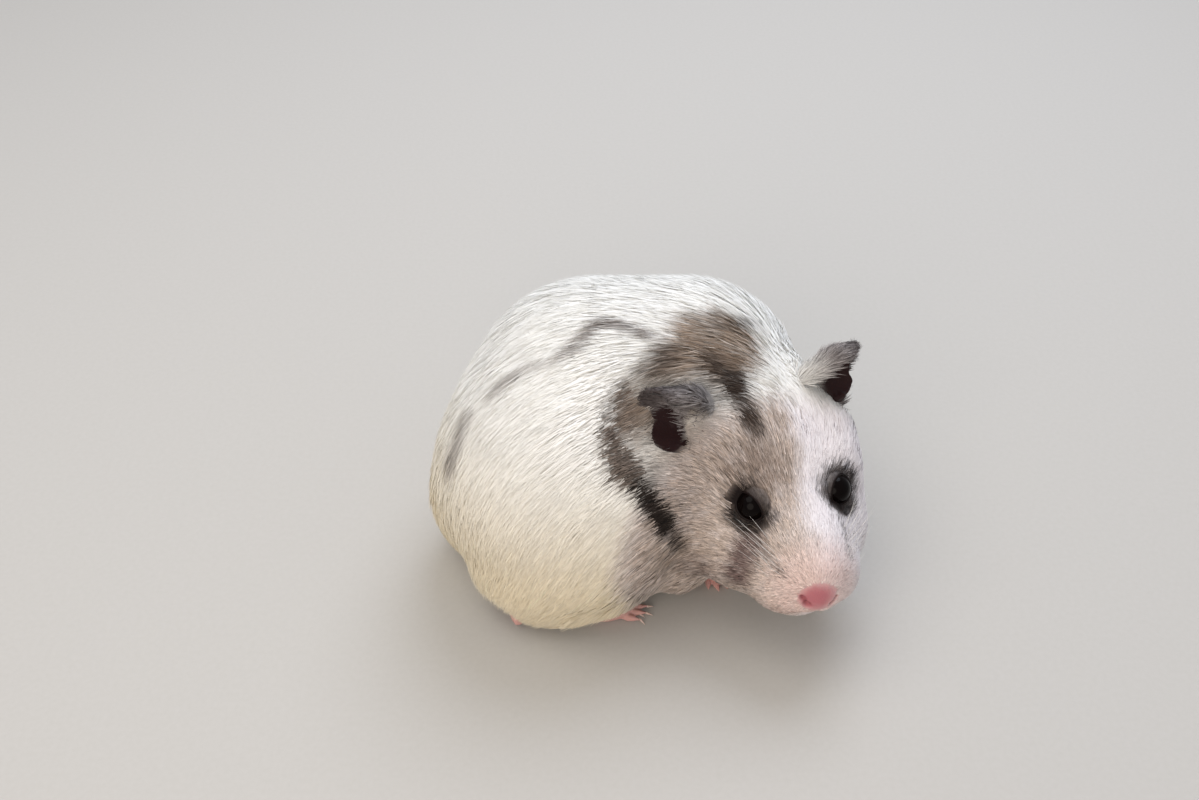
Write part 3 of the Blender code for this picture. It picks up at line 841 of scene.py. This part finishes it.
# Coat: tufts of soft hair, each a thin tapered blade rooted in the hide. They leave it at a
# slant and lie back from the nose along the body and down its sides, overlapping like thatch.
# Face and feet have the shortest, and hardly rise from the skin.
FIELD_STEP = 1.2 * MM
FIELD_ROOM = 12 * MM  # that the grid takes in round the hide


def distance_field(mesh):
    """A grid of distances to the hide, with its corner: positive outside it."""
    points = mesh_points(mesh)
    normals = mesh_normals(mesh)
    mesh.calc_loop_triangles()
    corners = [tuple(triangle.vertices) for triangle in mesh.loop_triangles]
    tree = BVHTree.FromPolygons([Vector(point) for point in points], corners)
    low = points.min(axis=0) - FIELD_ROOM
    counts = np.ceil((points.max(axis=0) + FIELD_ROOM - low) / FIELD_STEP).astype(int) + 1
    values = np.zeros(tuple(counts))
    for index in np.ndindex(*counts):
        place = Vector(low + np.array(index) * FIELD_STEP)
        nearest, _, corner, gap = tree.find_nearest(place)
        outward = normals[corners[corner][0]]
        values[index] = gap if np.dot(place - nearest, outward) > 0 else -gap
    return low, values


def sampled(low, values, points):
    """Values between a grid's corners."""
    place = (points - low) / FIELD_STEP
    whole = np.clip(np.floor(place).astype(int), 0, np.array(values.shape[:3]) - 2)
    share = np.clip(place - whole, 0, 1)
    total = 0
    for step, weight in cell_corners(share):
        index = whole + step
        found = values[index[:, 0], index[:, 1], index[:, 2]]
        total = total + weight.reshape(-1, *[1] * (found.ndim - 1)) * found
    return total


FIELD_LOW, HIDE_GAP = distance_field(body_mesh)
HIDE_AWAY = np.stack(np.gradient(HIDE_GAP, FIELD_STEP), axis=-1)


def gap_at(points):
    """How far points are off the hide."""
    return sampled(FIELD_LOW, HIDE_GAP, points)


def away_at(points):
    """The way straight off the hide at each place."""
    return unit(sampled(FIELD_LOW, HIDE_AWAY, points))


SPINE = np.array([
    NOSE_AT,
    BROW_AT - 4 * MM * HEAD_UP,
    head_place(-20, 0, -6),
    at("neck", (0.35, 0.58, 0.5)),
    at("chest", (0.4, 0.5, 0.5)),
    at("belly", (0.5, 0.5, 0.5)),
    at("rump", (0.5, 0.5, 0.5)),
    at("rump", (0.18, 0.22, 0.35)),
])
SPINE_STEPS = np.linalg.norm(np.diff(SPINE, axis=0), axis=1)
SPINE_REACH = 7 * MM


def backward(points):
    """The way from nose to tail at each place, and how far along the spine it is."""
    way = np.zeros_like(points)
    total = np.zeros(len(points))
    along = np.zeros(len(points))
    for i, (start, end) in enumerate(zip(SPINE, SPINE[1:])):
        bone = end - start
        share = np.clip((points - start) @ bone / (bone @ bone), 0, 1)
        gap = np.linalg.norm(points - start - share[:, None] * bone, axis=1)
        weight = np.exp(-(gap**2) / (2 * SPINE_REACH**2)) + 1e-9
        way += weight[:, None] * bone / np.linalg.norm(bone)
        along += weight * (SPINE_STEPS[:i].sum() + share * SPINE_STEPS[i])
        total += weight
    return unit(way), along / total


CURL_AT = np.array([0.003, -0.061, 0.0])  # the upright line that the trunk bends round


def along_hide(way, normals):
    return unit(way - normals * (way * normals).sum(axis=1, keepdims=True))


def lie(points, normals):
    """The way the coat lies: back from the nose over the head, then round the curl and down."""
    arm = points - CURL_AT
    way = unit(np.stack([-arm[:, 1], arm[:, 0], np.zeros(len(arm))], axis=1))
    steep = 1 - np.abs(normals[:, 2:3])
    body_way = way + np.array([0, 0, -1.0]) * (0.15 + 1.1 * steep)
    head_way = unit(points - NOSE_AT) - np.array([0, 0, 0.25]) * steep
    on_head = fade(from_nose(points), 26, 42)[:, None]
    return along_hide(head_way * on_head + body_way * (1 - on_head), normals)


def scatter(mesh, density, count, chance):
    """Random places on a mesh, thicker where density is greater, with their normals."""
    mesh.calc_loop_triangles()
    corners = rows(mesh.loop_triangles, "vertices", 3, np.int32)
    points = mesh_points(mesh)
    normals = mesh_normals(mesh)
    one, two, three = (points[corners[:, i]] for i in range(3))
    area = np.linalg.norm(np.cross(two - one, three - one), axis=1)
    weight = area * density(points, normals)[corners].mean(axis=1)
    picked = chance.choice(len(corners), count, p=weight / weight.sum())
    first, second = chance.random((2, count, 1))
    fold = (first + second) > 1
    first, second = np.where(fold, 1 - first, first), np.where(fold, 1 - second, second)
    shares = np.concatenate([1 - first - second, first, second], axis=1)[:, :, None]
    picked = corners[picked]
    return (points[picked] * shares).sum(axis=1), unit((normals[picked] * shares).sum(axis=1))


TUFT_STEPS = 2


def combed(roots, normals, length, rise, chance, stray):
    """The path of each tuft: from its root over the hide, rising to its height as it lies down."""
    side = np.cross(lie(roots, normals), normals) * (chance.normal(0, stray, (len(roots), 1)))
    place = roots.copy()
    paths = [roots]
    for step in range(1, TUFT_STEPS + 1):
        away = away_at(place)
        way = unit(lie(place, away) + side)
        place = place + way * (length / TUFT_STEPS)[:, None]
        height = rise * math.sin(math.pi / 2 * (step / TUFT_STEPS) ** 0.75)
        place = place + away_at(place) * (height - gap_at(place))[:, None]
        paths.append(place)
    return np.stack(paths, axis=1)


def clumped(paths, per_clump, pull, chance):
    """Draws the tips of neighbouring tufts towards one another, and says which clump each is in."""
    guides = chance.choice(len(paths), max(len(paths) // per_clump, 1), replace=False)
    tree = tree_of(paths[guides, 0])
    clump = np.array([tree.find(root)[1] for root in paths[:, 0]])
    share = (np.arange(paths.shape[1]) / (paths.shape[1] - 1)) ** 1.5
    share = share[None, :, None] * pull * chance.uniform(0.5, 1.0, (len(paths), 1, 1))
    return paths * (1 - share) + paths[guides[clump]] * share, clump


def unwrapped(points):
    """The hide laid flat: along the spine, and round it."""
    way, along = backward(points)
    whole = SPINE_STEPS.sum()
    joints = np.r_[0, SPINE_STEPS.cumsum()]
    centre = np.stack([np.interp(along, joints, SPINE[:, i]) for i in range(3)], axis=1)
    out = points - centre
    left = np.cross(np.array([0, 0, 1.0]), -way)
    turn = np.arctan2((out * unit(left)).sum(axis=1), out[:, 2])
    return np.stack([along / whole, turn / (2 * math.pi) + 0.5], axis=1)


PATCH = 0.003  # width of one tuft's patch on the unwrapped hide
TAPER = (0.75, 1.0)  # a blade's width at its root and at its bend, as a share of its greatest
ROOT_PAINTED_SHADE = 0.88  # painted shade darkens hair down among the roots, and painted light makes it palest at its tip
BEND_PAINTED_LIGHT = 1.02
TIP_PAINTED_LIGHT = 1.04


def tuft_mesh(name, paths, away, width, colours, chance):
    """One mesh of blades: two points at each level and one at the tip."""
    count, levels = len(paths), paths.shape[1] - 1
    along = unit(np.gradient(paths, axis=1))
    flat = unit(np.cross(along, away))
    roll = chance.normal(0, 0.45, (count, 1, 1))
    across = flat * np.cos(roll) + np.cross(along, flat) * np.sin(roll)
    half = width[:, None, None] / 2 * np.array(TAPER)[None, :, None]
    left = paths[:, :-1] - across[:, :-1] * half
    right = paths[:, :-1] + across[:, :-1] * half
    pairs = np.stack([left, right], axis=2).reshape(count, levels * 2, 3)
    verts = np.concatenate([pairs, paths[:, -1:]], axis=1)
    each = levels * 2 + 1
    triangles = []
    for level in range(levels - 1):
        a = level * 2
        triangles += [(a, a + 1, a + 3), (a, a + 3, a + 2)]
    triangles.append((levels * 2 - 2, levels * 2 - 1, levels * 2))
    triangles = np.array(triangles)
    faces = (triangles[None] + np.arange(count)[:, None, None] * each).reshape(-1, 3)
    mesh = bpy.data.meshes.new(name)
    mesh.vertices.add(count * each)
    mesh.vertices.foreach_set("co", verts.astype(np.float32).ravel())
    mesh.loops.add(faces.size)
    mesh.loops.foreach_set("vertex_index", faces.astype(np.int32).ravel())
    mesh.polygons.add(len(faces))
    mesh.polygons.foreach_set("loop_start", np.arange(0, faces.size, 3, dtype=np.int32))
    mesh.update(calc_edges=True)
    blade = unit(np.cross(across, along))
    blade *= np.sign((blade * away).sum(axis=2, keepdims=True))
    soft = unit(away * 0.85 + blade * 0.15)
    normals = np.concatenate([np.repeat(soft[:, :-1], 2, axis=1), soft[:, -1:]], axis=1).reshape(-1, 3)
    mesh.polygons.foreach_set("use_smooth", np.ones(len(faces), bool))
    mesh.normals_split_custom_set_from_vertices(normals.astype(np.float32))
    # Painted shade and light along each blade: darkest at its root, palest at its tip
    shade = np.append(np.repeat(np.linspace(ROOT_PAINTED_SHADE, BEND_PAINTED_LIGHT, levels), 2), TIP_PAINTED_LIGHT)
    paint(mesh, np.clip(colours[:, None, :] * shade[None, :, None], 0, 1).reshape(-1, 3))
    spread = unwrapped(paths[:, 0])
    span = np.stack([spread.min(axis=0), spread.max(axis=0)])
    spread = PATCH + (1 - 2 * PATCH) * (spread - span[0]) / (span[1] - span[0])
    sides = np.append(np.tile([-0.5, 0.5], levels), 0.0)
    rises = np.append(np.repeat(np.arange(levels) / levels, 2), 1.0) - 0.5
    patch = np.stack([sides, rises], axis=1) * PATCH
    uv = (spread[:, None, :] + patch[None]).reshape(-1, 2)
    layer = mesh.uv_layers.new(name="OFBake")
    layer.data.foreach_set("uv", uv[faces.ravel()].astype(np.float32).ravel())
    mesh.materials.append(hair)
    return placed(name, mesh)


def bare(points):
    """True where no hair grows: nose pad, lips' edge, and inside the lids."""
    local = in_head(points)
    open_skin = off_pad(points) < 1.0
    open_skin |= sum(near_ball(local, centre, radii) for centre, radii, _ in NOSE_DENTS) > 0.25
    for side in EYE_AT:
        slant, gap = past_lids(side, points)
        open_skin |= (gap < EYE_RADIUS + 1.5 * MM) & (slant < 0.10)
    return open_skin


def off_the_eyes(paths):
    """True for tufts that keep clear of the open eye."""
    clear = np.ones(len(paths), bool)
    for side in EYE_AT:
        slant, gap = past_lids(side, paths)
        over = (gap < EYE_RADIUS + 2.4 * MM) & (slant < 0.07)
        clear &= ~(over | (gap < EYE_RADIUS + 0.1 * MM)).any(axis=1)
    return clear


def off_the_ears(paths):
    """True for tufts that leave the ears' hoods free."""
    clear = np.ones(len(paths), bool)
    for name in EAR_ROOT:
        along, _, gap = round_ear(name, paths)
        hood = (along > 2.6) & (along < 0.8 * EAR_LENGTH[name]) & (gap < 3.4)
        clear &= ~(hood | (from_hollow(name, paths) < HOLLOW_REACH[name] - 0.3)).any(axis=1)
    return clear


def ticked(paths, clump, chance):
    """The colour of each tuft: the marking under its tip, with darker and paler hairs among them."""
    seen = paths[:, -2] * 0.5 + paths[:, -1] * 0.5
    colours = coat_colour(seen + chance.normal(0, 0.45 * MM, seen.shape))
    pale = colours.mean(axis=1)
    tick = chance.normal(0, 1, len(paths)) * np.interp(pale, [0.1, 0.4, 0.8], [0.32, 0.26, 0.04])
    tuft = np.random.default_rng(5).normal(0, 0.025, clump.max() + 1)[clump]
    return np.clip(colours * (1 + tick + tuft)[:, None], 0.004, 0.95)


def density_short(points, normals):
    """How thick the short hair of the head stands."""
    thick = np.interp(from_nose(points), (3, 10, 22, 34, 42), (50, 44, 34, 26, 0))
    return thick * (1 - bare(points)) * (0.45 + 0.55 * ramp(normals[:, 2], -0.9, -0.2))


def density_long(points, normals):
    """How thick the long hair of the trunk stands."""
    thick = np.interp(from_nose(points), (30, 38, 48), (0, 20, 18))
    return thick * (1 - bare(points)) * (0.30 + 0.70 * ramp(normals[:, 2], -0.95, -0.3))


COAT_LENGTH = (0.7, 1.4, 2.3, 3.4, 4.6, 6.8, 10.5)  # of the hair at the coat's steps, in millimetres
SHORT_TUFTS = 118000
LONG_TUFTS = 320000
SHARE_MADE = 1.0


def grow(density, count, width, stray, per_clump, pull, seed):
    """Paths, widths and colours of one kind of tuft."""
    chance = np.random.default_rng(seed)
    roots, normals = scatter(body_mesh, density, int(count * SHARE_MADE), chance)
    gap = from_nose(roots)
    room = coat_room(roots)
    length = np.interp(gap, COAT_STEPS, COAT_LENGTH) * (0.35 + 0.65 * room) * MM
    length *= chance.uniform(0.75, 1.15, len(roots))
    rise = np.interp(gap, COAT_STEPS, COAT_DEPTH) * room * MM
    rise *= chance.uniform(0.65, 1.05, len(roots))
    paths = combed(roots, normals, length, rise, chance, stray)
    paths, clump = clumped(paths, per_clump, pull, chance)
    kept = off_the_eyes(paths) & off_the_ears(paths) & (paths[:, :, 2] > 0.2 * MM).all(axis=1)
    paths, clump, gap = paths[kept], clump[kept], gap[kept]
    widths = np.interp(gap, COAT_STEPS, width) * MM / math.sqrt(SHARE_MADE)
    widths *= chance.uniform(0.7, 1.3, len(paths))
    return paths, widths, ticked(paths, clump, chance), chance


# Fine hair is pale, slightly shiny keratin. Its gloss is soft, since no two hairs lie alike
HAIR_LOOKS = {
    "Roughness": 0.62,
    "IOR": 1.45,
    "Specular IOR Level": 0.25,
    "Sheen Weight": 0.12,
    "Sheen Roughness": 0.4,
}
hair, tree, shader = new_material("soft_keratin_hair", HAIR_LOOKS)
tint = add_node(tree, "ShaderNodeAttribute", {"attribute_name": "tint"})
tree.links.new(tint.outputs["Color"], shader.inputs["Base Color"])


def coat_pieces(names, slots, grown):
    """Shares the tufts out among pieces, in order along the spine, and makes them."""
    paths, widths, colours, chance = grown
    order = np.argsort(backward(paths[:, 0])[1])
    for name, slot, index in zip(names, slots, np.array_split(order, len(names))):
        away = away_at(paths[index].reshape(-1, 3)).reshape(paths[index].shape)
        piece = tuft_mesh(name, paths[index], away, widths[index], colours[index], chance)
        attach(piece, "root")


# Width of the tufts at each of the coat's steps, in millimetres
SHORT_WIDTH = (0.10, 0.13, 0.16, 0.19, 0.23, 0.28, 0.30)
LONG_WIDTH = (0.20, 0.20, 0.20, 0.20, 0.20, 0.22, 0.25)
coat_pieces(
    ["coat_face", "coat_crown"],
    ["grey_coat", "grey_coat"],
    grow(density_short, SHORT_TUFTS, SHORT_WIDTH, stray=0.14, per_clump=8, pull=0.22, seed=21),
)
coat_pieces(
    ["coat_neck", "coat_shoulders", "coat_loin", "coat_flanks", "coat_rump"],
    ["grey_coat", "white_coat", "white_coat", "white_coat", "white_coat"],
    grow(density_long, LONG_TUFTS, LONG_WIDTH, stray=0.13, per_clump=14, pull=0.18, seed=22),
)


# Down on the ears: fine grey hair over the outside of each hood and on a band inside its rim,
# longest and palest at the ear's root. It grows from the ear's own skin and lies outwards.
EAR_TUFTS = 7500
EAR_DOWN_PALE = linear("cfc8c6")


def laid_paths(roots, normals, way, length, rise, steps):
    """The paths of short hairs. Each step is a share of the length, and one of the rise."""
    return np.stack([
        roots + MM * (way * (share * length)[:, None] + normals * (lift * rise)[:, None])
        for share, lift in steps
    ], axis=1)


def ear_down(name, seed):
    chance = np.random.default_rng(seed)
    mesh = ear_meshes[name]

    def outside(points, normals):
        along, _, _ = round_ear(name, points)
        return ear_fur(name, points, normals) * np.interp(along, (-7, 0, 9, 13), (1, 1, 0.6, 0.4))

    roots, normals = scatter(mesh, outside, int(EAR_TUFTS * SHARE_MADE), chance)
    along, _, _ = round_ear(name, roots)
    length = np.interp(along, (-1, 3, 8, 12), (4.2, 3.0, 1.6, 0.9)) * chance.uniform(0.7, 1.2, len(roots))
    way = EAR_OUT[name] + chance.normal(0, 0.16, (len(roots), 3)) + 0.10 * HEAD_UP
    way = along_hide(way, normals)
    rise = 0.10 + 0.05 * length
    paths = laid_paths(roots, normals, way, length, rise, [(0.0, 0.0), (0.5, 1.0), (1.0, 0.7)])
    far = 0.6 * EAR_LENGTH[name]
    pale = 0.38 * fade(along, 0.3 * far, 1.2 * far) + 0.08
    colours = mixed(EAR_BACK, EAR_DOWN_PALE, pale * chance.random(len(roots)) ** 0.8 * 1.3)
    colours = mixed(colours, coat_colour(roots), 0.7 * fade(along, -5.0, 0.0))
    colours *= chance.uniform(0.75, 1.15, (len(roots), 1))
    widths = chance.uniform(0.10, 0.18, len(roots)) * MM / math.sqrt(SHARE_MADE)
    away = np.repeat(normals[:, None], 3, axis=1)
    kept = (from_hollow(name, paths) > HOLLOW_REACH[name] - 0.7).all(axis=1)
    return tuft_mesh(f"coat_{name}", paths[kept], away[kept], widths[kept], colours[kept], chance)


for seed, name in enumerate(EAR_ROOT, 31):
    down = ear_down(name, seed)
    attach(down, "root")


# Down on the lids: the shortest hair of all, rooted in the bare ring of lid. It lies away from
# the opening and back from the nose, and blends the lids into the coat.
LID_TUFTS = 2600


def lid_down(side, seed):
    chance = np.random.default_rng(seed)

    def furred(points, normals):
        slant, _ = past_lids(side, points)
        return ramp(slant, 0.05, 0.12) * ((normals * unit(points - EYE_AT[side])).sum(axis=1) > 0.3)

    roots, normals = scatter(lid_meshes[side], furred, int(LID_TUFTS * SHARE_MADE), chance)
    out, _, _ = eye_axes(side)
    arm = roots - EYE_AT[side]
    away_from_slit = unit(arm - (arm @ out)[:, None] * out)
    way = away_from_slit + 0.7 * unit(roots - NOSE_AT) + chance.normal(0, 0.15, (len(roots), 3))
    way = along_hide(way, normals)
    slant, _ = past_lids(side, roots)
    length = np.interp(slant, (0.05, 0.5), (0.7, 1.7)) * chance.uniform(0.7, 1.2, len(roots))
    rise = np.interp(slant, (0.05, 0.5), (0.12, 0.45))
    paths = laid_paths(roots, normals, way, length, rise, [(0.0, 0.0), (0.5, 0.8), (1.0, 1.0)])
    widths = chance.uniform(0.09, 0.15, len(roots)) * MM / math.sqrt(SHARE_MADE)
    colours = coat_colour(paths[:, 2]) * chance.uniform(0.8, 1.15, (len(roots), 1))
    away = np.repeat(normals[:, None], 3, axis=1)
    return tuft_mesh(f"coat_lids_{side}", paths, away, widths, colours, chance)


for seed, side in enumerate(EYE_AT, 41):
    down = lid_down(side, seed)
    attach(down, "root")


# Whiskers: long stiff hairs of clear keratin, tapered to a point. They are rooted in four rows
# on each side of the muzzle and swept back over the cheek.
WHISKERS = 15  # on each side
WHISKER_ROWS = 4
TUBE_SIDES = 5
WHISKER_RADII = (0.05 * MM, 0.015 * MM)
ROOT_SUNK = 0.3 * MM


def tapered(bm, path, radii):
    """Adds a thin closed tube along a path to bm."""
    rings = []
    along = unit(np.gradient(path, axis=0))
    one = unit(np.cross(along, HEAD_UP + 0.1 * HEAD_LEFT))
    two = np.cross(along, one)
    for place, first, second, radius in zip(path, one, two, radii):
        turns = np.arange(TUBE_SIDES) * 2 * math.pi / TUBE_SIDES
        ring = place + radius * (np.cos(turns)[:, None] * first + np.sin(turns)[:, None] * second)
        rings.append([bm.verts.new(point) for point in ring])
    bridge(bm, rings)
    bm.faces.new(rings[0][::-1])
    bm.faces.new(rings[-1])


# Whisker keratin is stiff and clear, so it shows pale and a little shiny
horn, tree, shader = new_material("whisker_keratin", {"Roughness": 0.35})
clouded(tree, shader, per_mm=0.3, dark="b9b2ac", light="efece8")
chance = np.random.default_rng(51)
bm = bmesh.new()
for sign in (1, -1):
    for i in range(WHISKERS):
        row, place = i % WHISKER_ROWS, i // WHISKER_ROWS
        start = head_place(14.2 - 1.7 * place, NOSE_SIDE + sign * (4.5 + 0.5 * place), 1.4 - 1.5 * row)
        foot, normal, _, _ = hide_tree.find_nearest(Vector(start))
        foot, normal = np.array(foot), np.array(normal)
        length = (7.0 + 1.4 * place) * chance.uniform(0.85, 1.15)
        shares = np.linspace(0, 1, 8)
        way = unit(sign * 0.40 * HEAD_LEFT - 0.75 * HEAD_FORWARD + 0.30 * normal + chance.normal(0, 0.07, 3))
        droop = np.array([0, 0, -1.0]) * (0.14 * length) - normal * 0.10 * length
        path = foot - normal * ROOT_SUNK + MM * (np.outer(shares * length, way) + np.outer(shares**2, droop))
        tapered(bm, path, np.interp(shares, (0, 1), WHISKER_RADII))
whiskers = smooth_piece("whiskers", bm, horn)
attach(whiskers, "root")


# Claws: small curved cones of pale horn, one on the tip of each toe, seated in its skin.
# The forepaws have four toes and the hind feet five.
TOES = {paw: 4 if paw.startswith("forepaw") else 5 for paw in PAWS}
CLAW_APART = 1.5 * MM
CLAW_LENGTH = 1.5 * MM
CLAW_DROOP = 0.45 * MM
CLAW_HEIGHT = 0.75 * MM  # of its root over the floor
CLAW_SEAT = 0.5 * MM
CLAW_RADII = (0.30 * MM, 0.22 * MM, 0.04 * MM)

# Claw horn is smooth and pale, warmed by the pink of the toe below
claw_horn, tree, shader = new_material("claw_horn", {"Roughness": 0.3})
clouded(tree, shader, per_mm=1.2, dark="c9a79a", light="e2cfc2")
bm = bmesh.new()
for name, toes in TOES.items():
    points = mesh_points(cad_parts[name].data)
    heel = at(LIMB_OF[name], (0.5, 0.5, 0.3))
    tips = []
    for index in np.argsort(-np.linalg.norm((points - heel)[:, :2], axis=1)):
        if len(tips) < toes and all(np.linalg.norm(points[index] - tip) > CLAW_APART for tip in tips):
            tips.append(points[index])
    middle = points.mean(axis=0)
    for tip in tips:
        way = unit((tip - middle) * np.array([1, 1, 0]))
        base = np.array([tip[0], tip[1], CLAW_HEIGHT]) - way * CLAW_SEAT
        shares = np.linspace(0, 1, 6)
        path = base + np.outer(shares * CLAW_LENGTH, way) + np.outer(shares**2, [0, 0, -CLAW_DROOP])
        tapered(bm, path, np.interp(shares, (0, 0.5, 1), CLAW_RADII))
claws = smooth_piece("claws", bm, claw_horn)
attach(claws, "root")


# Stage: a pale floor of matt paper, a big cool window behind, a soft light overhead and a warm
# fill in front. The paper's faint grain keeps it from looking like plastic.
paper, tree, shader = new_material("pale_matt_paper", {"Roughness": 0.9})
clouded(tree, shader, per_mm=0.9, dark="b9b6b0", light="bfbcb7")
bm = bmesh.new()
bmesh.ops.create_grid(bm, x_segments=8, y_segments=8, size=1.5)
floor = new_piece("floor", bm)
floor.data.materials.append(paper)


LAMPS_AIM = Vector((0, 0, 0.03))


def lamp(name, place, size, power, colour):
    light = bpy.data.lights.new(name, "AREA")
    light.shape = "DISK"
    light.size = size
    light.energy = power
    light.color = linear(colour)
    stand = placed(name, light)
    stand.location = place
    stand.rotation_euler = (LAMPS_AIM - Vector(place)).to_track_quat("-Z", "Y").to_euler()


lamp("window", (0.12, 0.30, 0.55), size=0.45, power=2.4, colour="eaf1ff")
lamp("overhead", (-0.25, -0.05, 0.60), size=0.50, power=1.3, colour="fffaf2")
lamp("fill", (-0.20, -0.50, 0.30), size=0.50, power=1.5, colour="fff1e2")
world = bpy.data.worlds.new("studio")
world.use_nodes = True
world.node_tree.nodes["Background"].inputs["Color"].default_value = (*linear("e9eaee"), 1)
world.node_tree.nodes["Background"].inputs["Strength"].default_value = 0.6
bpy.context.scene.world = world
bpy.context.scene.view_settings.view_transform = "Standard"

lens = bpy.data.cameras.new("camera")
lens.sensor_width = 36
lens.lens = 39.03
lens.clip_start = 0.01
camera = placed("camera", lens)
camera.location = (-0.00905, -0.1912, 0.2071)
camera.rotation_euler = (math.radians(49), 0, 0)
bpy.context.scene.camera = camera
